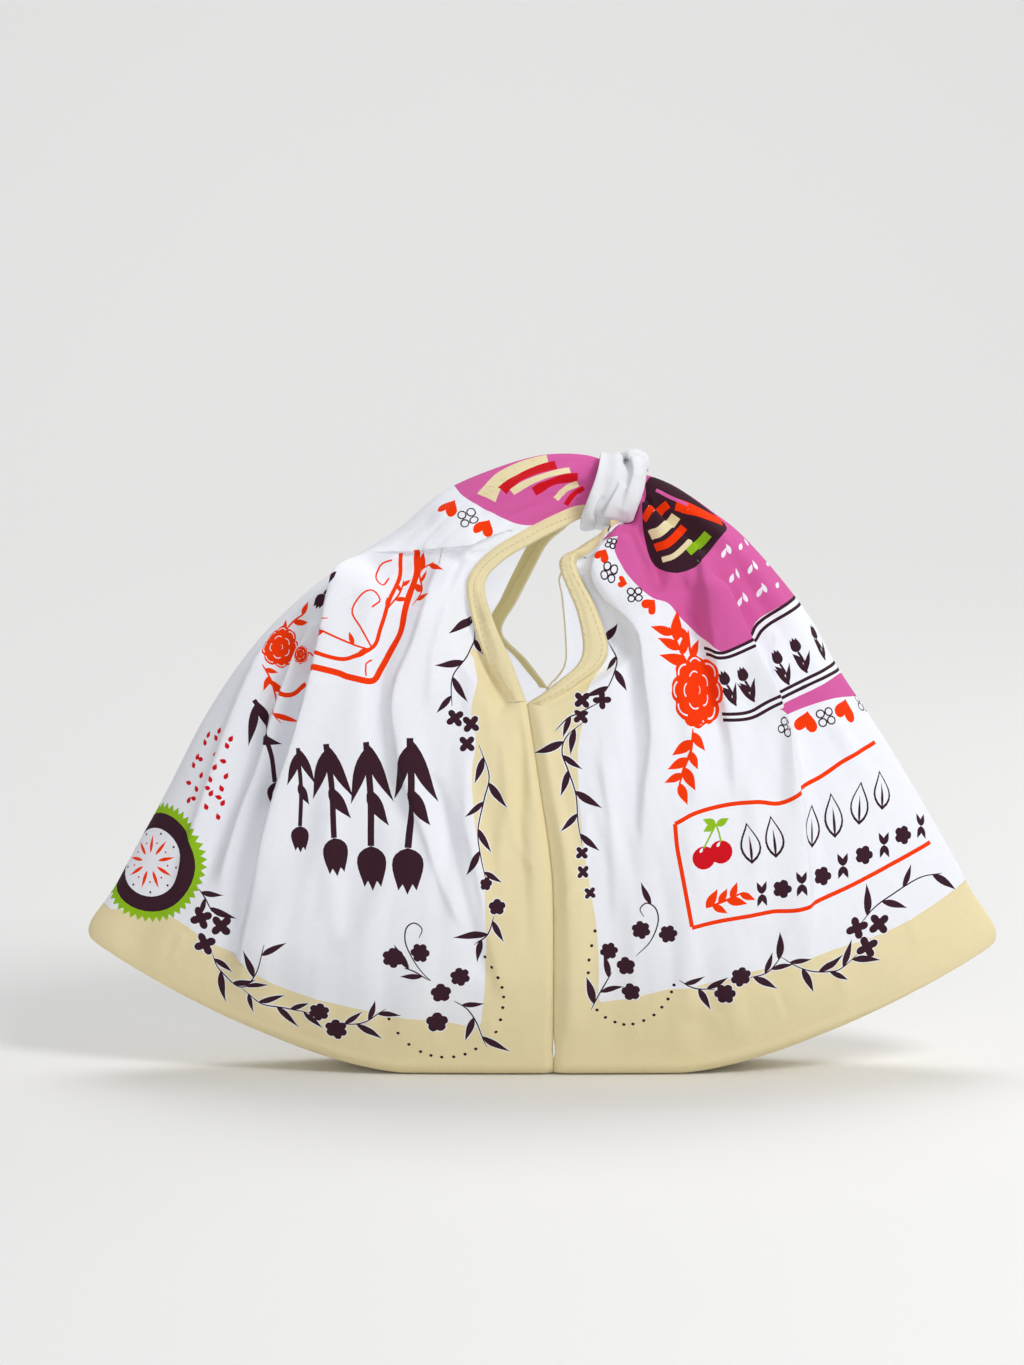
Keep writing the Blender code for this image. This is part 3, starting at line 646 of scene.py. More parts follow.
def smoothed(points):
    """The smooth line through the points, with three more between each two."""
    return through_points(points, np.linspace(0.0, len(points) - 1, 4 * (len(points) - 1) + 1))


def print_patch(square, pixels, ink, layer=2):
    """Prints the area inside a line drawn on the front view."""
    line = smoothed(chart_from_photo(square, pixels + pixels[:1]))
    square["shapes"].append((layer, line[:-1], ink))


def print_line(square, pixels, width, ink, layer=INK_LAYER, halo=0.0, thin_ends=False):
    """Prints a line of some width through these pixels of the front view."""
    path = chart_from_photo(square, pixels)
    count = max(3, int(np.linalg.norm(np.diff(path, axis=0), axis=1).sum() / CURVE_STEP))
    line = through_points(path, np.linspace(0.0, len(path) - 1, count + 1))
    slopes, normal = cloth_slopes(square, line)
    heading = np.einsum("nij,nj->ni", slopes, np.gradient(line, axis=0))
    aside = np.einsum("nij,nj->ni", np.linalg.pinv(slopes), unit(np.cross(normal, heading)))
    share = np.linspace(0.0, 1.0, count + 1)
    taper = 0.35 + 0.65 * np.sin(math.pi * share) ** 0.5 if thin_ends else np.ones(count + 1)
    strips = [(width / 2, ink, layer)] + ([(width / 2 + halo, "white", HALO_LAYER)] if halo else [])
    for half_width, shade, level in strips:
        edge = aside * (half_width * taper)[:, None]
        left, right = line + edge, line - edge
        for k in range(count):
            corners = np.array([left[k], right[k], right[k + 1], left[k + 1]])
            square["shapes"].append((level, corners, shade))
    return line


def leaf_outline(length, width, bend=0.0):
    """A pointed leaf from its stalk at the origin, its tip bent to the left by bend."""
    share = np.linspace(0.0, 1.0, 9)
    half = np.stack([np.zeros(9), width / 2 * np.sin(math.pi * share ** 0.75) ** 1.15], axis=1)
    middle = np.stack([length * share, bend * share ** 2], axis=1)
    return np.vstack([middle - half, (middle + half)[-2:0:-1]])


def flower_outline(radius, petals, notch):
    """A flower seen flat: round petals with a notch between them."""
    angle = np.linspace(0.0, 2 * math.pi, petals * 9, endpoint=False)
    slim = 1.0 if petals == 4 else 1.6
    reach = radius * (1.0 - notch * (1.0 - np.abs(np.cos(petals * angle / 2))) ** slim)
    return np.stack([reach * np.cos(angle), reach * np.sin(angle)], axis=1)


def round_outline(radius, count=8):
    """A disc."""
    angle = np.linspace(0.0, 2 * math.pi, count, endpoint=False)
    return np.stack([radius * np.cos(angle), radius * np.sin(angle)], axis=1)


def heart_outline(size):
    """A full heart with its point down."""
    angle = np.linspace(0.0, 2 * math.pi, 24, endpoint=False)
    x = 17 * np.sign(np.sin(angle)) * np.abs(np.sin(angle)) ** 2.4
    y = 13 * np.cos(angle) - 5 * np.cos(2 * angle) - 2 * np.cos(3 * angle) - np.cos(4 * angle)
    return np.stack([x, y], axis=1)[::-1] * size / 32


def print_leafy_stem(square, pixels, leaves, length, first_side=1, ink="aubergine", stem=0.8,
                     halo=HALO, wide=0.25):
    """A vine with leaves on alternate sides, a little unlike each other."""
    line = print_line(square, pixels, stem, ink, halo=halo, thin_ends=True)
    for k in range(leaves):
        at = min(int((k + 0.6) / leaves * (len(line) - 1)), len(line) - 2)
        along = cloth_slopes(square, line[at][None])[0][0] @ (line[at + 1] - line[at])
        side = first_side if k % 2 == 0 else -first_side
        grown = length * (0.92 + 0.36 * math.sin(2.1 * k + len(line)) ** 2)
        lay_shape(square, leaf_outline(grown, grown * wide, side * grown * 0.12), line[at], ink,
                  along, side * (34 + 7 * math.sin(1.7 * k)), halo=halo)


def print_ring_flower(square, pixel, radius, turn):
    """Four round petals in outline."""
    ring = round_outline(radius * 0.33, 10)
    wide = ring * (1.0 + RING_LINE / (radius * 0.33))
    for k in range(4):
        angle = math.pi / 2 * (k + 0.5) + math.radians(turn)
        petal = np.array([math.cos(angle), math.sin(angle)]) * radius * 0.64
        for here in range(10):
            after = (here + 1) % 10
            corners = np.array([ring[here], wide[here], wide[after], ring[after]])
            print_shape(square, corners + petal, pixel, "aubergine")


def print_blossom(square, pixel, wide, tall):
    """A full round blossom: two rings of petals, each with a pale line inside its edge."""
    for ring, (reach, size, count) in enumerate(((0.62, 0.42, 8), (0.30, 0.34, 5), (0.0, 0.2, 1))):
        for k in range(count):
            angle = 2 * math.pi * (k + 0.5 * ring) / count
            petal = flower_outline(size * (1.0 + 0.12 * math.sin(3.1 * k)), 3, 0.16)
            middle = reach * np.array([math.cos(angle), math.sin(angle)])
            layer = INK_LAYER + 2 * ring
            print_shape(square, (petal + middle) * (wide, tall), pixel, "orange", layer=layer)
            bow = np.linspace(-0.9, 0.9, 7) + angle
            curve = np.stack([np.cos(bow), np.sin(bow)], axis=1) * size
            line = np.vstack([curve * 0.62, (curve * 0.74)[::-1]]) + middle
            print_shape(square, line * (wide, tall), pixel, "white", layer=layer + 1)


def print_tulip(square, foot, top, size):
    """A tall bold tulip: a stem, two long leaves and a head of three petals."""
    foot, top = np.array(foot, dtype=float), np.array(top, dtype=float)
    print_line(square, [foot, (foot + top) / 2 + (2, 0), top], size * 0.2, "aubergine")
    heading = math.degrees(math.atan2(foot[1] - top[1], top[0] - foot[0]))
    for share, side, reach in ((0.0, 1, 2.1), (0.05, -1, 1.8), (0.45, 1, 1.3)):
        leaf = leaf_outline(size * reach, size * 0.44, side * size * 0.22)
        print_shape(square, leaf, foot + (top - foot) * share, "aubergine", heading + side * 17)
    for side in (-1, 0, 1):
        petal = leaf_outline(size * (1.35 - 0.1 * abs(side)), size * 0.62, -side * size * 0.2)
        print_shape(square, petal, top, "aubergine", heading + side * 21)


def print_border(square, vines, flowers, arc, dots):
    """The border's vines and flowers, and the dotted arc near its corner."""
    for vine in vines:
        print_leafy_stem(square, *vine)
    for x, y, radius, petals in flowers:
        notch = FOUR_PETAL_NOTCH if petals == 4 else ROUND_PETAL_NOTCH
        outline = flower_outline(radius * FLOWER_SCALE, petals, notch)
        print_shape(square, outline, (x, y), "aubergine", x % 60, halo=HALO)
    arc = chart_from_photo(square, arc)
    for place in through_points(arc, np.linspace(0.0, len(arc) - 1, dots)):
        lay_shape(square, round_outline(ARC_DOT, 7), place, "aubergine")


def mirrored(square, chart):
    """The same place on the square's other half."""
    ratio = chart_width(square, chart[:, 1], 1) / chart_width(square, chart[:, 1], 0)
    return np.stack([-chart[:, 0] * ratio, chart[:, 1]], axis=1)


def print_cap(square, pixels, ink, layer, margin=0.0):
    """Prints all of the cloth above a line on the front view, up to the knot, front and back."""
    line = smoothed(chart_from_photo(square, pixels))
    heights = np.arange(line[-1, 1] + 3.0, square["heights"][-1] - 0.6, 4.0)
    rim = section_at(square, heights, BORDER) + margin - chart_width(square, heights, 0)
    half = np.vstack([[(-0.01, line[0, 1])], line, np.stack([rim, heights], axis=1)])
    square["shapes"].append((layer, np.vstack([half, mirrored(square, half)[::-1]]), ink))


def rim_strip(square, half, heights, inner, outer):
    """A strip of the chart along the rim, between two distances in from it."""
    sign, width = (1.0 if half else -1.0), chart_width(square, heights, half)
    return np.vstack([np.stack([sign * (width - inner), heights], axis=1),
                      np.stack([sign * (width - outer), heights], axis=1)[::-1]])


def finish_print(square):
    """The cream hem over all that is printed beside it, then the same print on the back half."""
    heights = np.arange(section_height(square, V_ROW + 0.1), square["heights"][-1] - 1.0, 3.0)
    band = section_at(square, heights, BAND) + HEM_OVERLAP
    for half in (0, 1):
        square["shapes"].append((RIM_LAYER, rim_strip(square, half, heights, band, -0.5), "cream"))
    for layer, outline, ink in list(square["shapes"]):
        if outline[:, 0].max() < 0:
            square["shapes"].append((layer, mirrored(square, outline), ink))


# Making the cloth of the chart.  The face is cut into small triangles along every print line,
# the reverse follows 0.8 mm behind it, or 1.9 mm at the hems, and a round edge closes them.
FACE_STEP, FINE_FACE_STEP = 2.1, 1.15
REVERSE_STEP, FINE_REVERSE_STEP = 4.2, 1.3
ROW_SHARE = 0.87
CLOTH, HEM = 0.8, 1.9
HEM_WIDTH = 9.0
HEM_STEP_START, HEM_STEP_END = 4.0, 7.0
EDGE_BULGE = 0.4
SHARP_BEND = 0.22


def chart_outline(square, step):
    """The chart's outline: up the front, over the knot end, down the back, along the bottom."""
    heights, columns, widths = square["heights"][::6], square["columns"], square["widths"]
    front = np.stack([-chart_width(square, heights, 0), heights], axis=1)
    back = np.stack([chart_width(square, heights, 1), heights], axis=1)
    across = np.where(columns > 0, widths[1, 0], widths[0, 0]) * columns
    bottom = np.stack([across, -square["under"]], axis=1)
    lines = []
    for line in (np.vstack([bottom[:1], front[:1]]), front, np.vstack([front[-1:], back[-1:]]), back[::-1],
                 np.vstack([back[:1], bottom[-1:]]), bottom[::4][::-1]):
        count = max(2, int(np.linalg.norm(np.diff(line, axis=0), axis=1).sum() / step))
        lines.append(through_points(line, np.linspace(0.0, len(line) - 1, count + 1))[:-1])
    return np.vstack(lines)[::-1]


def chart_points(square, step, fine_step):
    """Points all over the chart, staggered, and closer together where the cloth bends sharply."""
    low, high = -square["under"].max(), square["heights"][-1]
    sets = []
    for spacing in (step, fine_step):
        rows = []
        for k, y in enumerate(np.arange(low + 0.3 * spacing, high - 0.4 * step, spacing * ROW_SHARE)):
            left = -chart_width(square, y, 0) + spacing * (0.1 + 0.5 * (k % 2)) + 0.5 * step
            x = np.arange(left, chart_width(square, y, 1) - 0.5 * step, spacing)
            rows.append(np.stack([x, np.full(len(x), y)], axis=1))
        sets.append(np.vstack(rows))
    bend = np.zeros(len(sets[1]))
    for shift in ((0.9, 0.0), (0.0, 0.9)):
        ahead, behind = (cloth_at(square, sets[1] + np.array(shift) * sign)[1] for sign in (1, -1))
        bend = np.maximum(bend, np.linalg.norm(ahead - behind, axis=1))
    points = np.vstack([sets[0], sets[1][bend > SHARP_BEND]])
    x, y = points.T
    column = ACROSS_STEPS * (1.0 + np.where(x > 0, x / square["widths"][1, 0], x / square["widths"][0, 0]))
    floor = -np.interp(column, np.arange(2 * ACROSS_STEPS + 1), square["under"]) + 0.4 * step
    return points[(y > np.minimum(floor, 0.4 * step)) & ((y > 0) | (y > floor))]


def inside(polygon, points):
    """Which of the points lie inside the polygon."""
    x1, y1 = polygon.T
    x2, y2 = np.roll(polygon, -1, axis=0).T
    found = []
    for block in np.array_split(points, len(points) // 4000 + 1):
        x, y = block[:, 0:1], block[:, 1:2]
        crossing = (y1 > y) != (y2 > y)
        rise = np.where(y2 == y1, 1.0, y2 - y1)
        found.append((crossing & (x < x1 + (y - y1) * (x2 - x1) / rise)).sum(axis=1) % 2 == 1)
    return np.concatenate(found)


def cut_chart(outline, points, shapes):
    """Triangles of the chart, cut along every shape, each with the ink printed there last."""
    start = len(points)
    face = list(range(start, start + len(outline)))
    start += len(outline)
    edges = []
    for shape in shapes:
        corners = np.arange(start, start + len(shape[1]))
        edges += list(zip(corners.tolist(), np.roll(corners, -1).tolist()))
        start += len(corners)
    coords = [Vector(p) for p in np.vstack([points, outline] + [shape[1] for shape in shapes])]
    found = delaunay_2d_cdt(coords, edges, [face], 1, 1e-4, True)
    chart = np.array([tuple(v) for v in found[0]])
    triangles = np.array([triangle for triangle, origin in zip(found[2], found[5]) if origin])
    centre = chart[triangles].mean(axis=1)
    inks = np.full(len(triangles), -1)
    for layer, polygon, ink in shapes:
        boxed = (centre > polygon.min(axis=0)) & (centre < polygon.max(axis=0))
        near = np.flatnonzero(boxed.all(axis=1))
        inks[near[inside(polygon, centre[near])]] = INK_NAMES.index(ink)
    wanted = set(face)
    first = {origin: k for k, origins in enumerate(found[3]) for origin in origins if origin in wanted}
    return chart, triangles, inks, [first[k] for k in face if k in first]


def boundary_loop(triangles):
    """The outline's points in order."""
    edges = np.vstack([triangles[:, (0, 1)], triangles[:, (1, 2)], triangles[:, (2, 0)]])
    known = set(map(tuple, edges))
    after = {a: b for a, b in known if (b, a) not in known}
    loop = [next(iter(after))]
    while after[loop[-1]] != loop[0]:
        loop.append(after[loop[-1]])
    return loop


def cloth_mesh(name, points, triangles, ink_of, through, normals, threads, material):
    """The mesh object of a cloth, with its inks, its share of painted glow, normals and thread directions.
    """
    mesh = bpy.data.meshes.new(name)
    mesh.from_pydata((points * MM).tolist(), [], triangles.tolist())
    colours = np.array([INKS[ink] for ink in INK_NAMES])[ink_of]
    paint = mesh.color_attributes.new("ink", "FLOAT_COLOR", "CORNER")
    paint.data.foreach_set("color", np.repeat(np.column_stack([colours, through]), 3, axis=0).ravel())
    layout = mesh.uv_layers.new(name="threads")
    layout.data.foreach_set("uv", threads[triangles.ravel()].ravel())
    mesh.shade_smooth()
    mesh.normals_split_custom_set_from_vertices(unit(normals).tolist())
    mesh.materials.append(material)
    return placed(name, mesh)


def cloth_object(name, square, material):
    """Face, reverse and edge joined in one closed sheet."""
    shapes = sorted(square["shapes"], key=lambda shape: shape[0])
    face_chart, face, inks, unused = cut_chart(
        chart_outline(square, FACE_STEP), chart_points(square, FACE_STEP, FINE_FACE_STEP), shapes)
    loop = boundary_loop(face)
    edge_chart = face_chart[loop]
    v_height = section_height(square, V_ROW)
    y = np.arange(v_height, square["heights"][-1] - 1.0, 3.0)
    hem = HEM_WIDTH * (0.4 + 0.6 * smooth_steps(y, y[0], y[0] + 90.0))
    # The left square's inner hem is cream darkened with painted shade; the right square's is plain reverse.
    inner_hem = "cream_painted_shade" if square["side"] < 0 else "reverse"
    hem_strips = [(1, rim_strip(square, half, y, hem, 0.02), inner_hem) for half in (0, 1)]
    back_chart, back, back_inks, back_loop = cut_chart(
        edge_chart, chart_points(square, REVERSE_STEP, FINE_REVERSE_STEP), hem_strips)

    face_points, face_normals = cloth_at(square, face_chart)
    back_points, back_normals = cloth_at(square, back_chart)
    from_rim = width_at(square, back_chart) - np.abs(back_chart[:, 0])
    hemmed = 1.0 - smooth_steps(from_rim, HEM_STEP_START, HEM_STEP_END)
    hemmed = hemmed * (back_chart[:, 1] > v_height)
    thickness = CLOTH + (HEM - CLOTH) * hemmed
    back_points = back_points - back_normals * thickness[:, None]

    ring = face_points[loop]
    outward = np.cross(unit(np.roll(ring, -1, axis=0) - np.roll(ring, 1, axis=0)), face_normals[loop])
    inner_step = ring - cloth_at(square, edge_chart * (0.99, 0.995))[0]
    outward *= np.sign((outward * inner_step).sum(axis=1, keepdims=True))
    hem_here = thickness[back_loop]
    middle = ring - face_normals[loop] * hem_here[:, None] / 2 + outward * hem_here[:, None] * EDGE_BULGE

    n_face, n_back = len(face_points), len(back_points)
    points = np.vstack([face_points, back_points, middle])
    normals = np.vstack([face_normals, -back_normals, outward])
    a, b, c = np.array(loop), n_face + n_back + np.arange(len(loop)), n_face + np.array(back_loop)
    normals[a] += outward
    normals[c] += outward
    sides = []
    for low, high in ((a, b), (b, c)):
        after_low, after_high = np.roll(low, -1), np.roll(high, -1)
        sides += [np.stack([low, high, after_high], axis=1),
                  np.stack([low, after_high, after_low], axis=1)]
    edge = np.vstack(sides)
    triangles = np.vstack([face, back[:, ::-1] + n_face, edge])
    sample = face[len(face) // 2]
    first, second, third = points[sample]
    if np.cross(second - first, third - first) @ face_normals[sample[0]] < 0:
        triangles = triangles[:, ::-1]
    cream, plain = INK_NAMES.index("cream"), INK_NAMES.index("reverse")
    ink_of = np.concatenate([np.where(inks < 0, cream, inks), np.where(back_inks < 0, plain, back_inks),
                             np.full(len(edge), cream)])
    # Only the reverse glows: a painted light in the ink's alpha, standing in for the light through the
    # cloth.
    through = np.concatenate([np.zeros(len(face)), np.ones(len(back)), np.zeros(len(edge))])
    threads = np.vstack([face_chart, back_chart + (0.0, -400.0), edge_chart])
    return cloth_mesh(name, points, triangles, ink_of, through, normals, threads, material)


# The printed cotton's reverse glows at strength 0.22, as painted light; the knot's white cotton doesn't
# glow.
PRINTED_COTTON = cotton_material("printed_cotton", 3.0, 0.22)


# The left square.  One of the two cotton squares, folded over at the bag's side, with its hem
# turned in along the open rim.  Its pattern stands upside down, because the square was turned
# before it was cut.
left_square = shaped_square(LEFT_SECTIONS, LEFT_FRONT_FOLDS, LEFT_BACK_FOLDS, -1)
LEFT_GROUND_EDGE = [(111, 909), (167, 915), (208, 941), (245, 967), (281, 987), (318, 1000), (379, 1012),
                    (430, 1020), (462, 1025), (479, 1026), (483, 1006), (485, 975), (486, 932), (483, 865),
                    (476, 834), (473, 804), (472, 770), (476, 742), (471, 714), (477, 682), (474, 659)]
print_cap(left_square, LEFT_GROUND_EDGE, "white", 1)
LEFT_PINK_EDGE = [(454, 485), (463, 496), (476, 504), (491, 512), (505, 519), (518, 524), (534, 525),
                  (551, 524), (564, 519)]
print_cap(left_square, LEFT_PINK_EDGE, "pink", 2, -0.6)
LEFT_VINES = [
    # path in pixels leaves length first side
    ([(478, 582), (474, 612), (470, 650), (453, 676), (452, 706)], 6, 13.8, 1),
    ([(479, 745), (489, 775), (484, 800), (478, 830), (481, 858), (486, 880)], 6, 13.8, -1),
    ([(431, 981), (417, 966), (406, 945), (406, 929), (414, 923), (422, 929), (419, 938)], 0, 0, 1),
    ([(431, 981), (415, 972), (404, 968)], 2, 13, 1),
    ([(454, 1001), (468, 1010), (478, 1026), (487, 1047)], 3, 13.8, 1),
    ([(212, 953), (220, 970), (240, 987), (254, 977), (264, 945)], 6, 13.8, 1),
    ([(242, 988), (262, 1004), (290, 1009), (309, 1013)], 5, 13, -1),
    ([(340, 1024), (362, 1023), (386, 1009)], 4, 13, 1),
    ([(199, 889), (205, 898), (212, 912)], 3, 12.3, 1),
    ([(494, 916), (488, 934), (474, 945)], 3, 13.8, 1),
]
LEFT_FLOWERS = [
    # x y radius petals
    (455, 718, 4.8, 4), (471, 724, 4.8, 4), (467, 744, 4.6, 4), (486, 884, 3.4, 5), (497, 907, 4.2, 5),
    (393, 958, 5.4, 6), (420, 953, 4.9, 6), (460, 977, 5, 6), (441, 993, 5.2, 5), (437, 1022, 5.6, 5),
    (201, 918, 6, 4), (221, 926, 6, 4), (205, 944, 6, 4), (319, 1012, 5.2, 6), (336, 1029, 5.7, 6),
]
LEFT_ARC = [(485, 957), (500, 982), (503, 1006), (494, 1035), (468, 1053), (440, 1057), (414, 1048),
            (389, 1019)]
print_border(left_square, LEFT_VINES, LEFT_FLOWERS, LEFT_ARC, 18)
# Hearts and outlined petals along the shoulder, under the pink field with its wavy stripes.
LEFT_HEARTS = [(448, 507, 12.0, 140), (484, 528, 11.0, 150)]
LEFT_RING_FLOWER = (468, 518)
for x, y, size, turn in LEFT_HEARTS:
    print_shape(left_square, heart_outline(size), (x, y), "orange", turn=turn)
print_ring_flower(left_square, LEFT_RING_FLOWER, 6.0, 20)
LEFT_STRIPES = [
    # ink width path in pixels
    ("cream", 11, [(486, 497), (500, 480), (522, 468), (548, 461)]),
    ("red", 6.5, [(502, 490), (516, 479), (535, 471), (556, 465)]),
    ("cream", 4, [(512, 492), (530, 481), (550, 474), (570, 470)]),
    ("red", 5, [(534, 492), (550, 483), (564, 478), (578, 477)]),
    ("cream", 3.5, [(556, 499), (566, 489), (578, 484)]), ("red", 3, [(566, 505), (574, 494), (584, 488)]),
]
for ink, width, path in LEFT_STRIPES:
    print_line(left_square, path, width, ink)
# The orange frame with scrolls and leaves, half hidden in the deep pleat.
LEFT_ORANGE_LINES = [
    # width path in pixels
    (3.4, [(417, 550), (417, 573), (411, 591), (404, 616), (400, 634), (391, 651), (381, 669), (372, 681),
     (349, 677), (331, 671), (310, 671)]),
    (2.2, [(401, 553), (397, 584), (387, 607), (380, 630), (374, 646), (357, 655), (334, 658), (315, 652)]),
    (2.6, [(269, 681), (285, 695), (306, 684)]),
    (1, [(372, 648), (361, 628), (352, 612), (360, 596), (372, 590), (380, 600), (372, 607)]),
    (1, [(392, 560), (380, 566), (376, 578), (383, 585), (389, 578)]),
    (1, [(366, 676), (366, 664), (372, 660)]),
    (1, [(300, 664), (308, 652), (318, 662)]),
]
for width, path in LEFT_ORANGE_LINES:
    print_line(left_square, path, width, "orange")
LEFT_ORANGE_STEMS = [
    ([(372, 650), (352, 644), (336, 634), (328, 618)], 5, 8, 1),
    ([(412, 606), (422, 590), (420, 572), (434, 562)], 5, 8.5, -1),
    ([(386, 612), (398, 596), (404, 580)], 4, 6.5, 1),
    ([(284, 632), (295, 620), (306, 612)], 3, 8, 1),
    ([(262, 664), (270, 678), (276, 700), (281, 723)], 5, 7, 1),
]
for stem in LEFT_ORANGE_STEMS:
    print_leafy_stem(left_square, *stem, "orange", 1.1, 0.0, 0.36)
LEFT_BLOSSOMS = [((280, 647), 10.5, 12.0), ((300, 654), 4.5, 5.0)]
for blossom in LEFT_BLOSSOMS:
    print_blossom(left_square, *blossom)
# Tall tulips hang head down across the middle, with rows of small red buds beside them.
LEFT_TULIPS = [
    # foot top size
    ((410, 738), (408, 848), 19), ((366, 742), (371, 846), 18), ((326, 744), (334, 838), 16),
    ((298, 748), (300, 826), 11), ((254, 700), (275, 782), 13), ((337, 570), (324, 594), 7),
]
for tulip in LEFT_TULIPS:
    print_tulip(left_square, *tulip)
LEFT_BUD_ROWS = [
    # from to buds
    ((207, 738), (196, 800), 6), ((218, 734), (207, 812), 8), ((229, 742), (219, 822), 8),
    ((196, 760), (188, 800), 4),
]
for begin, end, buds in LEFT_BUD_ROWS:
    for k in range(buds):
        share = (k + 0.4 * math.sin(5.0 * k)) / (buds - 1)
        place = np.array(begin) + (np.array(end) - begin) * share
        print_shape(left_square, leaf_outline(4.2, 2.6), place, "red", turn=60 + 50 * (k % 3))
finish_print(left_square)
# A roundel lies over the fold at the side: a zigzag rim, a dark ring and petals in the middle.
ROUNDEL = (150, 862)
TEETH, TOOTH_FOOT, TOOTH_TIP = 48, 30.5, 33.5
reach = np.where(np.arange(2 * TEETH) % 2, TOOTH_FOOT, TOOTH_TIP)[:, None]
zigzag = reach * [(math.cos(a), math.sin(a))
                  for a in np.linspace(0.0, 2 * math.pi, 2 * TEETH, endpoint=False)]
print_shape(left_square, zigzag, ROUNDEL, "green", layer=2)
print_shape(left_square, round_outline(27.5, 40), ROUNDEL, "aubergine", layer=3)
print_shape(left_square, round_outline(19.0, 36), ROUNDEL, "white", layer=4)
for k in range(9):
    turn = math.radians(40 * k + 8)
    for reach, outline, ink in ((5.0, leaf_outline(10.5, 2.0), "orange"),
                                (16.6, round_outline(0.7, 6), "aubergine"),
                                (11.0, round_outline(0.6, 6), "red")):
        spun = turn + (0.35 if len(outline) == 6 else 0.0)
        spin = np.array([(math.cos(spun), math.sin(spun)), (-math.sin(spun), math.cos(spun))])
        print_shape(left_square, (outline + (reach, 0.0)) @ spin, ROUNDEL, ink, layer=5)

left_panel = cloth_object("left_square", left_square, PRINTED_COTTON)
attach(left_panel, "root")
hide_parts("panel_left")


# The right square.  The same printed cotton, folded over at the other side and sewn to the left
# square from the bottom to the V, front and back.  Its pattern stands upright.
right_square = shaped_square(RIGHT_SECTIONS, RIGHT_FRONT_FOLDS, RIGHT_BACK_FOLDS, 1)
RIGHT_GROUND_EDGE = [(956, 888), (919, 914), (888, 931), (858, 942), (836, 949), (806, 960), (775, 966),
                     (742, 975), (708, 983), (671, 989), (634, 998), (608, 1001), (599, 999), (599, 969),
                     (596, 923), (592, 899), (587, 868), (583, 841), (580, 810), (578, 776), (578, 749),
                     (581, 730), (586, 712), (586, 696), (590, 684)]
print_cap(right_square, RIGHT_GROUND_EDGE, "white", 1)
RIGHT_PINK_EDGE = [(795, 594), (770, 612), (756, 622), (749, 638), (736, 648), (720, 651), (708, 642),
                   (694, 631), (679, 616), (668, 603), (653, 598), (640, 588), (627, 574), (618, 559),
                   (614, 546), (618, 536)]
print_cap(right_square, RIGHT_PINK_EDGE, "pink", 2, 3.6)
RIGHT_VINES = [
    ([(598, 640), (608, 642), (616, 656), (616, 667), (611, 681), (604, 693)], 4, 13, 1),
    ([(600, 702), (580, 712), (568, 718), (555, 731)], 1, 10.2, 1),
    ([(585, 721), (567, 736), (562, 752), (568, 770), (576, 795), (578, 822), (582, 844)], 7, 13.8, 1),
    ([(636, 956), (650, 942), (658, 923), (656, 909), (647, 903), (640, 909), (644, 917)], 1, 11.6, -1),
    ([(591, 1010), (601, 991), (612, 972)], 3, 13.8, 1),
    ([(679, 980), (698, 989), (715, 990)], 3, 13, 1),
    ([(749, 978), (768, 972), (781, 957)], 4, 13, -1),
    ([(781, 957), (803, 969), (824, 972), (842, 968), (858, 954)], 6, 13.8, 1),
    ([(861, 923), (874, 908), (890, 896), (919, 878), (942, 873)], 4, 14.5, 1),
]
RIGHT_FLOWERS = [
    (582, 700, 4.6, 4), (602, 700, 4.6, 4), (581, 716, 4.4, 4), (582, 853, 3.6, 4), (583, 872, 3.8, 4),
    (590, 893, 3.4, 4), (641, 930, 4.7, 6), (668, 934, 4.6, 6), (609, 951, 4.5, 6), (626, 966, 4.8, 5),
    (631, 992, 4.8, 5), (725, 994, 5.5, 6), (741, 977, 5.3, 6), (857, 928, 6, 4), (879, 924, 6, 4),
    (867, 947, 6, 4),
]
RIGHT_ARC = [(595, 931), (589, 960), (589, 985), (597, 1010), (615, 1022), (633, 1024), (654, 1015),
             (668, 999), (674, 985)]
print_border(right_square, RIGHT_VINES, RIGHT_FLOWERS, RIGHT_ARC, 17)
# Hearts and outlined petals follow the edges of the pink fields.
RIGHT_HEARTS = [(602, 555, 7.8, 150), (622, 582, 5.6, 70), (650, 606, 9.6, 140), (806, 723, 12.5, 172),
                (845, 711, 14, 172)]
RIGHT_RING_FLOWERS = [(611, 543, 3), (609, 572, 4.6), (635, 595, 4.4), (786, 727, 5), (826, 717, 5.4),
                      (861, 703, 5.8)]
for x, y, size, turn in RIGHT_HEARTS:
    print_shape(right_square, heart_outline(size), (x, y), "orange", turn=turn)
for x, y, radius in RIGHT_RING_FLOWERS:
    print_ring_flower(right_square, (x, y), radius, x % 90)
# The dark field with bold stripes, beside the knot.  Its dark ink is print, and over the hollow between the
# folds there it also stands for the hollow's shade, as painted shade.
DARK_FIELD_AND_SHADE = [(645, 484), (655, 474), (690, 496), (725, 524), (718, 540), (701, 562), (677, 573),
              (655, 566), (646, 544), (642, 510)]
print_patch(right_square, DARK_FIELD_AND_SHADE, "aubergine", 3)
RIGHT_STRIPES = [
    ("orange", 7, [(676, 504), (700, 512), (722, 522)]),
    ("orange", 4.5, [(644, 520), (658, 514), (668, 504)]),
    ("cream", 5.5, [(650, 535), (664, 528), (676, 516)]),
    ("orange", 4.5, [(655, 548), (672, 540), (684, 527)]),
    ("green", 5, [(688, 552), (699, 544), (708, 534)]), ("cream", 3, [(662, 560), (678, 553), (690, 541)]),
    ("pink", 2, [(656, 490), (672, 498), (688, 505)]),
]
for ink, width, path in RIGHT_STRIPES:
    print_line(right_square, path, width, ink, 5)
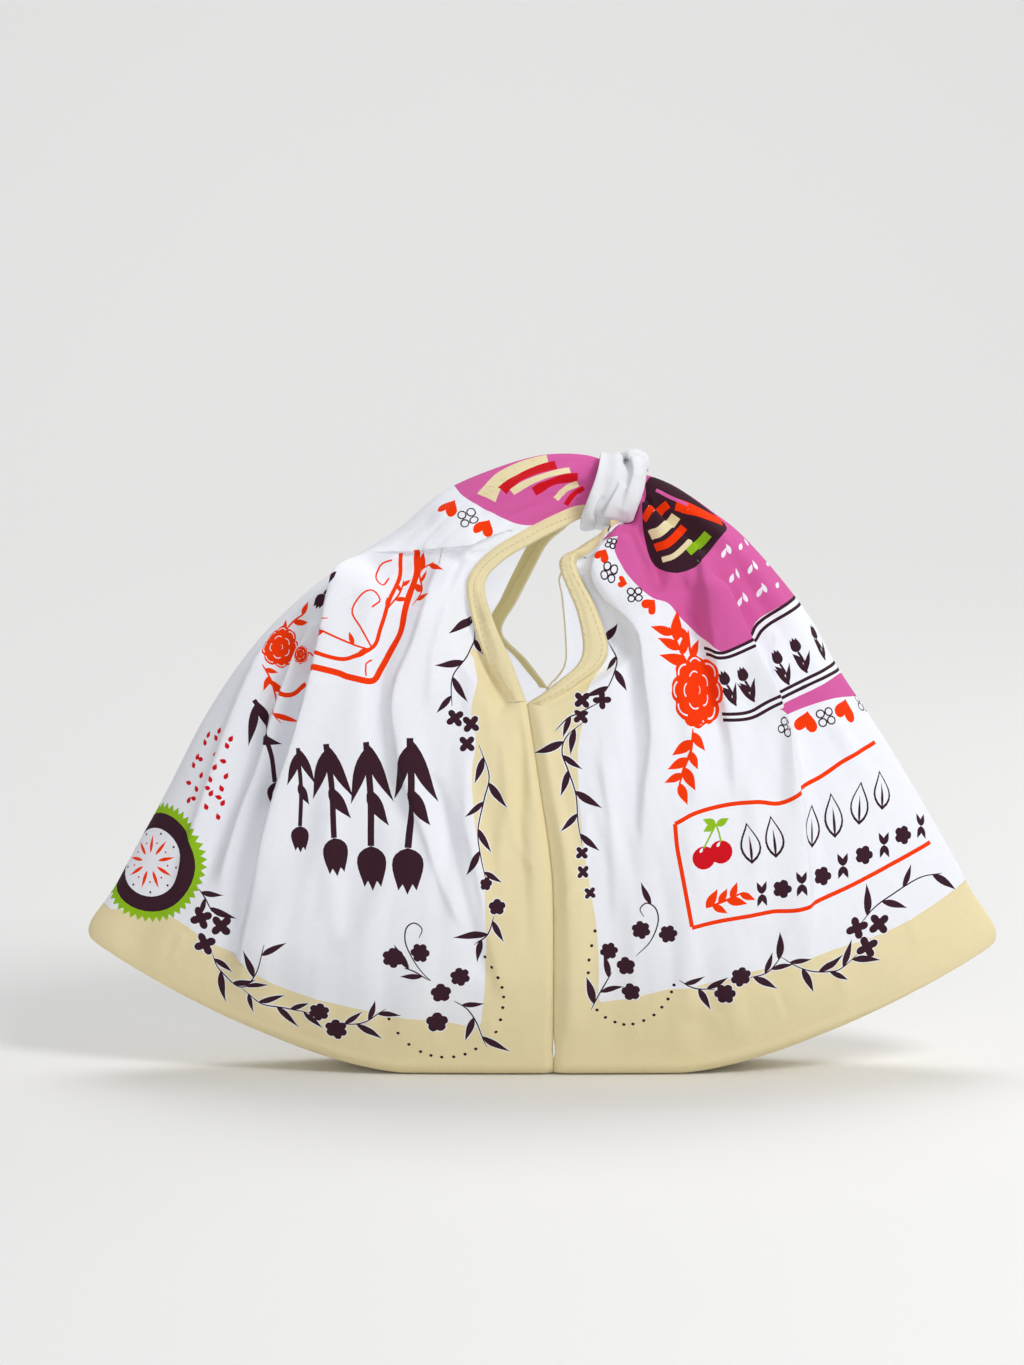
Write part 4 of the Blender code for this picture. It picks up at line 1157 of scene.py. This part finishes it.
# A white strip between dark double lines, with a row of small tulips, and pink below it.
DOUBLE_LINES = [
    [(704, 648), (719, 653), (736, 648), (750, 637), (762, 620), (795, 596)],
    [(706, 654), (720, 658), (739, 653), (754, 642), (768, 625), (800, 602)],
    [(722, 714), (749, 712), (776, 698), (808, 678), (838, 656)],
    [(723, 720), (751, 718), (779, 704), (811, 684), (842, 662)],
]
for path in DOUBLE_LINES:
    print_line(right_square, path, 1.8, "aubergine")
LOW_PINK_FIELD = [(780, 709), (812, 690), (845, 668), (858, 688), (835, 698), (808, 706), (784, 716)]
print_patch(right_square, LOW_PINK_FIELD, "pink")
SMALL_TULIP_FEET = [(736, 706), (754, 702), (789, 685), (807, 673), (825, 660)]
for x, y in SMALL_TULIP_FEET:
    print_tulip(right_square, (x, y), (x - 9, y - 21), 6.4)
# Rows of small white leaves in the pink field above the strip.
LEAF_ROWS = [(722, 558, 44, -20), (730, 583, 46, -22), (738, 607, 48, -24)]
ROW_LEAVES = 6
for x, y, across, rise in LEAF_ROWS:
    for k in range(ROW_LEAVES):
        share = k / (ROW_LEAVES - 1)
        print_shape(right_square, leaf_outline(6.2, 2.5), (x + across * share, y + rise * share),
                    "white", turn=118 if k % 2 else 68)
# The orange blossom with its leaves.
RIGHT_BLOSSOM, LOW_LEAF = (697, 690), (684, 718)
print_blossom(right_square, RIGHT_BLOSSOM, 15.5, 20.0)
RIGHT_ORANGE_STEMS = [
    ([(690, 668), (682, 654), (677, 643), (669, 627)], 5, 13, 1),
    ([(694, 668), (690, 650), (688, 630)], 2, 12, -1),
    ([(693, 728), (691, 750), (684, 768), (679, 786)], 7, 11.5, 1),
]
for stem in RIGHT_ORANGE_STEMS:
    print_leafy_stem(right_square, *stem, "orange", 1.6, 0.0, 0.42)
print_shape(right_square, leaf_outline(12.0, 6.0, 2.0), LOW_LEAF, "orange", turn=-25, layer=6)
# The orange frame: cherries, open leaves and a row of dark flowers.
RIGHT_FRAME = [
    [(675, 824), (696, 813), (726, 805), (757, 802), (781, 803), (800, 790), (820, 777), (847, 759),
     (875, 742)],
    [(675, 824), (677, 846), (681, 868), (687, 900), (692, 927)],
    [(692, 928), (726, 920), (770, 912), (800, 910), (833, 894), (879, 871), (910, 854), (930, 842)],
]
CHERRIES = [(704, 858), (721, 852)]
CHERRY_STALKS = [[(704, 848), (710, 836), (716, 824)], [(721, 842), (719, 833), (716, 824)]]
CHERRY_LEAVES = (716, 825)
for path in RIGHT_FRAME:
    print_line(right_square, path, 2.3, "orange")
for x, y in CHERRIES:
    print_shape(right_square, round_outline(6.4, 18), (x, y), "red", layer=5)
    print_shape(right_square, leaf_outline(3.4, 1.6), (x - 4, y - 5), "white", turn=60, layer=6)
for path in CHERRY_STALKS:
    print_line(right_square, path, 1.0, "green", 6)
for turn in (20, 150, 200):
    print_shape(right_square, leaf_outline(8.0, 4.2, 1.0), CHERRY_LEAVES, "green", turn=turn, layer=6)
RIGHT_OPEN_LEAVES = [
    # foot length width turn bend
    ((752, 864), 23, 11.5, 92, 2), ((776, 858), 24, 10.5, 94, 1), ((812, 848), 24, 11.5, 90, -1),
    ((835, 838), 25, 10.5, 92, 1), ((859, 825), 24, 11.5, 88, -1), ((882, 810), 22, 10.5, 88, 1),
]
for foot, length, width, turn, bend in RIGHT_OPEN_LEAVES:
    inner = leaf_outline(length - 3.4, width - 2.2, bend * 0.8) + (1.8, 0.0)
    vein = leaf_outline(length * 0.7, 1.5, bend * 0.5)
    print_shape(right_square, leaf_outline(length, width, bend), foot, "aubergine", turn)
    print_shape(right_square, inner, foot, "white", turn, 5)
    print_shape(right_square, vein, foot, "aubergine", turn, 6)
DARK_FLOWERS = [(762, 894), (782, 889), (802, 884), (822, 876), (843, 866), (864, 855), (884, 845),
                (903, 835), (921, 826)]
for k, (x, y) in enumerate(DARK_FLOWERS):
    if k % 2:
        print_shape(right_square, flower_outline(5.2, 5, 0.3), (x, y), "aubergine")
    else:
        for turn in (70, 115, 250, 295):
            print_shape(right_square, leaf_outline(7.6, 3.0), (x, y), "aubergine", turn=turn)
FRAME_SPRIG = [(706, 908), (722, 902), (744, 892)]
print_leafy_stem(right_square, FRAME_SPRIG, 6, 9.5, 1, "orange", 1.4, 0.0, 0.42)
finish_print(right_square)

right_panel = cloth_object("right_square", right_square, PRINTED_COTTON)
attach(right_panel, "root")
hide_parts("panel_right")


# Stitching.  A cream cotton thread holds the hem down, in one row of short stitches round the
# open rim, near the inner side of the hem's band.
STITCH = 2.6
STITCH_GAP = 1.0
THREAD = 0.55
THREAD_SIDES = 6
BACK_STITCH_IN = 6.0
STITCH_TAPER = (0.35, 1.0, 1.0, 0.35)


def stitch_line(square, half, off, points, triangles):
    """Adds one row of short stitches that lie on the cloth, at a distance from the free edge."""
    low, high = section_height(square, V_ROW + 0.15), square["heights"][-1] - 12.0
    for start in np.arange(low, high, STITCH + STITCH_GAP):
        heights = np.linspace(start, start + STITCH, len(STITCH_TAPER))
        band = section_at(square, heights, BAND)
        sign = 1.0 if half else -1.0
        away = np.maximum(band - off, 1.6) if half == 0 else BACK_STITCH_IN
        chart = np.stack([sign * (chart_width(square, heights, half) - away), heights], axis=1)
        spots, normals = cloth_at(square, chart)
        aside = np.cross(unit(np.gradient(spots, axis=0)), normals)
        first = len(points)
        for k, thin in enumerate(STITCH_TAPER):
            for turn in np.linspace(0.0, 2 * math.pi, THREAD_SIDES, endpoint=False):
                arm = aside[k] * math.cos(turn) + normals[k] * (math.sin(turn) * 0.8)
                points.append(spots[k] + normals[k] * 0.05 + arm * THREAD / 2 * thin)
        last = first + THREAD_SIDES * (len(STITCH_TAPER) - 1)
        for a in range(first, last, THREAD_SIDES):
            b = a + THREAD_SIDES
            for j in range(THREAD_SIDES):
                n = (j + 1) % THREAD_SIDES
                triangles += [(a + j, a + n, b + n), (a + j, b + n, b + j)]
        for j in range(1, THREAD_SIDES - 1):
            triangles += [(first, first + j + 1, first + j), (last, last + j, last + j + 1)]


stitch_points, stitch_faces = [], []
for square, off in ((left_square, 3.2), (right_square, 3.0)):
    for half in (0, 1):
        stitch_line(square, half, off, stitch_points, stitch_faces)
thread_mesh = bpy.data.meshes.new("rim_thread")
thread_mesh.from_pydata((np.array(stitch_points) * MM).tolist(), [], stitch_faces)
thread_mesh.shade_smooth()
thread_material = bpy.data.materials.new("cream_thread")
thread_material.use_nodes = True
thread_nodes, thread_links = thread_material.node_tree.nodes, thread_material.node_tree.links
thread_shader = thread_nodes["Principled BSDF"]
thread_shader.inputs["Roughness"].default_value = 0.7
twist = thread_nodes.new("ShaderNodeTexNoise")
twist.inputs["Scale"].default_value = 900.0
tone = thread_nodes.new("ShaderNodeMix")
tone.data_type = "RGBA"
tone.inputs[6].default_value = (0.60, 0.48, 0.25, 1.0)
tone.inputs[7].default_value = (0.74, 0.62, 0.36, 1.0)
thread_links.new(twist.outputs["Fac"], tone.inputs["Factor"])
thread_links.new(tone.outputs[2], thread_shader.inputs["Base Color"])
thread_mesh.materials.append(thread_material)
rim_thread = placed("rim_thread", thread_mesh)
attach(rim_thread, "root")


# The knot.  The upper ends of the squares are tied, so that a band of the white reverse lies
# round both straps in three soft lobes, and the end of the tie stands out at the top.
WRAP_CENTRE = (39.0, 0.0, 319.0)
WRAP_TILT = math.radians(15)
WRAP_HALF_LENGTH = 13.5
WRAP_RADIUS = 21.5
WRAP_DEPTH_RADIUS = 23.0
WRAP_THICKNESS = 4.0
WRAP_CREASES = [
    # name line from to left right lean
    ("right_lobe", [(50, 344), (51.5, 337), (50, 328), (46, 317), (42, 309)], 3.4, 2.6, 4.6, 4.6, 0),
    ("left_lobe", [(32, 338), (28, 326), (24.5, 314), (23.5, 306)], 0.4, 2, 5, 4.6, 0),
    ("end_crease", [(45.2, 340.5), (47.2, 336), (47.4, 332), (46.2, 328), (44.2, 323)], -3.4, -1.6, 1.1, 2,
     0),
    ("end_lip", [(47.6, 340.5), (49.6, 336), (49.8, 332), (48.6, 328), (46.6, 323)], 1.8, 0.8, 2.8, 1.3,
     0.5),
    ("cross_bed", [(41.4, 328.4), (37.4, 321), (34, 313.8), (32.2, 307.2)], -1, -2.2, 0.8, 1.7, 0),
    ("cross_lip", [(43.4, 328), (39.4, 320.8), (36, 313.6), (34.2, 307)], 1.2, 2.2, 4.4, 1, 0.6),
    ("fold_bed", [(33.2, 320.6), (29.6, 315.2), (28.4, 310.8), (29.4, 304.6)], -0.8, -2.2, 1.5, 0.8, 0),
    ("fold_lip", [(31, 321), (27.4, 315), (26, 310.6), (27, 304.4)], 0.9, 2, 1, 4, 0.6),
    ("side_dent", [(51.2, 331), (50.4, 325), (47, 318), (43.4, 312)], -1, -0.4, 2.2, 2.2, 0),
]
WHITE_COTTON = cotton_material("white_cotton", 2.5, 0.0)


def wrap_outline(angle):
    """Where the band's two edges lie along the straps at each angle round them."""
    below = smooth_steps(-np.sin(angle), 0.42, 0.85)
    left = np.maximum(0.0, np.sin(angle)) - WRAP_HALF_LENGTH + 0.5 * np.sin(3.0 * angle + 0.6)
    return left, WRAP_HALF_LENGTH - 14.0 * below + 0.4 * np.sin(4.0 * angle)


def wrap_radius(angle, along):
    """How far the band's outside stands from the straps' middle line."""
    high, wide = np.sin(angle), np.cos(angle)
    lobes = 0.8 * np.cos(2 * math.pi * (along / 12.0 + 0.22 * high + 0.1))
    lobes = lobes + 2.5 * np.maximum(0.0, -high) * np.maximum(0.0, -along / WRAP_HALF_LENGTH)
    return (np.hypot(WRAP_RADIUS * high, WRAP_DEPTH_RADIUS * wide) + lobes
            - 1.5 * np.maximum(0.0, high) * np.maximum(0.0, along / WRAP_HALF_LENGTH))


def wrap_point(angle, along, radius):
    """Points of the band from their angle, their place along the straps and their radius."""
    x, y, z = WRAP_CENTRE
    up = radius * np.sin(angle)
    return np.stack([x + along * math.cos(WRAP_TILT) + up * math.sin(WRAP_TILT),
                     y - radius * np.cos(angle),
                     z - along * math.sin(WRAP_TILT) + up * math.cos(WRAP_TILT)], axis=-1)


def ring_mesh(name, grid, normals, closed_rows, material):
    """A closed skin over rings of points, capped at its two ends if it doesn't meet itself."""
    rows, columns = grid.shape[:2]
    after = (np.arange(columns) + 1) % columns
    triangles = []
    for k in range(rows if closed_rows else rows - 1):
        low, high = k * columns, ((k + 1) % rows) * columns
        here = np.arange(columns)
        triangles.append(np.stack([low + here, low + after, high + after], axis=1))
        triangles.append(np.stack([low + here, high + after, high + here], axis=1))
    points, normals = grid.reshape(-1, 3), normals.reshape(-1, 3)
    if not closed_rows:
        for row, ring in ((0, np.arange(columns)[::-1]), (rows - 1, np.arange(columns))):
            centre = len(points)
            inward = grid[row].mean(axis=0) - grid[1 if row == 0 else rows - 2].mean(axis=0)
            points = np.vstack([points, grid[row].mean(axis=0) + 0.15 * inward])
            normals = np.vstack([normals, inward])
            ring = ring + row * columns
            triangles.append(np.stack([ring, np.roll(ring, -1), np.full(columns, centre)], axis=1))
    triangles = np.vstack(triangles)
    corners = points[triangles]
    if np.einsum("ij,ij->i", corners[:, 0], np.cross(corners[:, 1], corners[:, 2])).sum() < 0:
        triangles = triangles[:, ::-1]
    # The knot's white is painted shade: a darker copy of the white reverse that the knot is made of.
    plain = np.full(len(triangles), INK_NAMES.index("tie_painted_shade"))
    x, y, z = points.T
    threads = np.stack([x * 0.97 - z * 0.26, z + 1.3 * y], axis=1)
    through = np.zeros(len(triangles))
    return cloth_mesh(name, points, triangles, plain, through, normals, threads, material)


def ring_normals(grid, closed_rows):
    """Outward directions over rings of points."""
    up = np.roll(grid, -1, 0) - np.roll(grid, 1, 0) if closed_rows else np.gradient(grid, axis=0)
    normal = unit(np.cross(up, np.roll(grid, -1, 1) - np.roll(grid, 1, 1)))
    out = grid - grid.mean(axis=1, keepdims=True)
    return normal * math.copysign(1.0, (normal * out).sum())


outside_turns = np.linspace(0.0, math.pi, 130, endpoint=False)
inside_turns = np.linspace(math.pi, 2 * math.pi, 26, endpoint=False)
angle, turn = np.meshgrid(np.linspace(0.0, 2 * math.pi, 300, endpoint=False),
                          np.concatenate([outside_turns, inside_turns]), indexing="ij")
left_edge, right_edge = wrap_outline(angle)
along = (left_edge + right_edge) / 2 + (right_edge - left_edge) / 2 * np.cos(turn)
depth = WRAP_THICKNESS / 2 * (np.sign(np.sin(turn)) * np.abs(np.sin(turn)) ** 0.6 - 1)
band = wrap_point(angle, along, wrap_radius(angle, along) + depth)
outward = ring_normals(band, True)
facing = smooth_steps(np.cos(angle), -0.45, 0.1) * smooth_steps(np.sin(turn), 0.0, 0.25)
for name, *measures in WRAP_CREASES:
    band = band + fold_push(band, outward, *measures) * facing[..., None]
knot_wrap = ring_mesh("knot_band", band, ring_normals(band, True), True, WHITE_COTTON)
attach(knot_wrap, "root")
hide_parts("knot_wrap")

TAIL_SECTIONS = [
    # name round along out half_wide half_high
    ("root", 96, -1.8, -1, 3.6, 1.4),
    ("rise", 92, 1.2, 1, 5.6, 2.6),
    ("crown", 86, 4.8, 2.8, 6.8, 3.4),
    ("roll", 77, 8, 1, 6.6, 3),
    ("tip", 66, 10.2, -2.8, 5, 2),
]
tail_table = np.array([row[1:] for row in TAIL_SECTIONS])
stations = through_points(tail_table, np.linspace(0.0, len(TAIL_SECTIONS) - 1, 61))
station_angle, along, out, wide, high = (stations[:, k:k + 1] for k in range(5))
station_angle = np.radians(station_angle)
round_it = np.linspace(0.0, 2 * math.pi, 90, endpoint=False)[None, :]
radius = wrap_radius(station_angle, along) + out
middle = wrap_point(station_angle, along, radius)
radial = wrap_point(station_angle, along, radius + 1.0) - middle
heading = np.gradient(middle[:, 0], axis=0)[:, None]
across = unit(np.cross(heading, radial))
groove = 1.0 - 0.08 * np.exp(-((round_it - 2.1) / 0.22) ** 2)
tail = (middle + across * (wide * np.cos(round_it))[..., None]
        + radial * (high * np.sin(round_it) * groove)[..., None])
knot_tail = ring_mesh("knot_end", tail, ring_normals(tail, False), False, WHITE_COTTON)
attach(knot_tail, "root")
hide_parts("knot_tail")


# Floor and light.  A pale seamless sweep under a soft lamp from the right and above, with a
# weak low one from the left and one for the far end of the sweep.
SWEEP_HALF_WIDTH, SWEEP_FRONT = 7.0, -9.0
SWEEP_BEND_START, SWEEP_RADIUS, SWEEP_TURN = 2.6, 6.0, 0.72
SWEEP_STEPS = 16
LAMPS = [
    # name place aim size power
    ("key", (1.2, -1.3, 1.75), (0.0, 0.0, 0.15), 0.7, 25.5),
    ("fill", (-0.4, -4.6, 1.15), (0.0, 0.0, 0.1), 1.6, 30.0),
    ("backdrop", (0.0, 2.6, 5.0), (0.0, 4.6, 0.0), 4.0, 160.0),
    ("back_side", (1.3, 0.9, 0.9), (0.05, 0.0, 0.0), 0.7, 3.0),
]
sweep = [(SWEEP_FRONT, 0.0)]
for angle in np.linspace(0.0, SWEEP_TURN, SWEEP_STEPS):
    sweep.append((SWEEP_BEND_START + math.sin(angle) * SWEEP_RADIUS,
                  SWEEP_RADIUS - math.cos(angle) * SWEEP_RADIUS))
floor_mesh = bpy.data.meshes.new("floor")
floor_mesh.from_pydata([(x, y, z) for y, z in sweep for x in (-SWEEP_HALF_WIDTH, SWEEP_HALF_WIDTH)], [],
                       [(2 * k, 2 * k + 1, 2 * k + 3, 2 * k + 2) for k in range(len(sweep) - 1)])
floor_mesh.shade_smooth()
floor_material = bpy.data.materials.new("pale_sweep")
floor_material.use_nodes = True
floor_shader = floor_material.node_tree.nodes["Principled BSDF"]
floor_shader.inputs["Base Color"].default_value = (0.80, 0.797, 0.792, 1.0)
floor_shader.inputs["Roughness"].default_value = 0.9
floor_mesh.materials.append(floor_material)
floor = placed("floor", floor_mesh)
for name, place, aim, size, power in LAMPS:
    lamp = bpy.data.lights.new(name, "AREA")
    lamp.shape = "SQUARE"
    lamp.size = size
    lamp.energy = power
    placed(name, lamp, place, Vector(aim) - Vector(place))
world = bpy.data.worlds.new("studio")
world.use_nodes = True
sky = world.node_tree.nodes["Background"]
sky.inputs["Color"].default_value = (1.0, 1.0, 1.0, 1.0)
sky.inputs["Strength"].default_value = 0.40
bpy.context.scene.world = world
bpy.context.scene.view_settings.view_transform = "Standard"
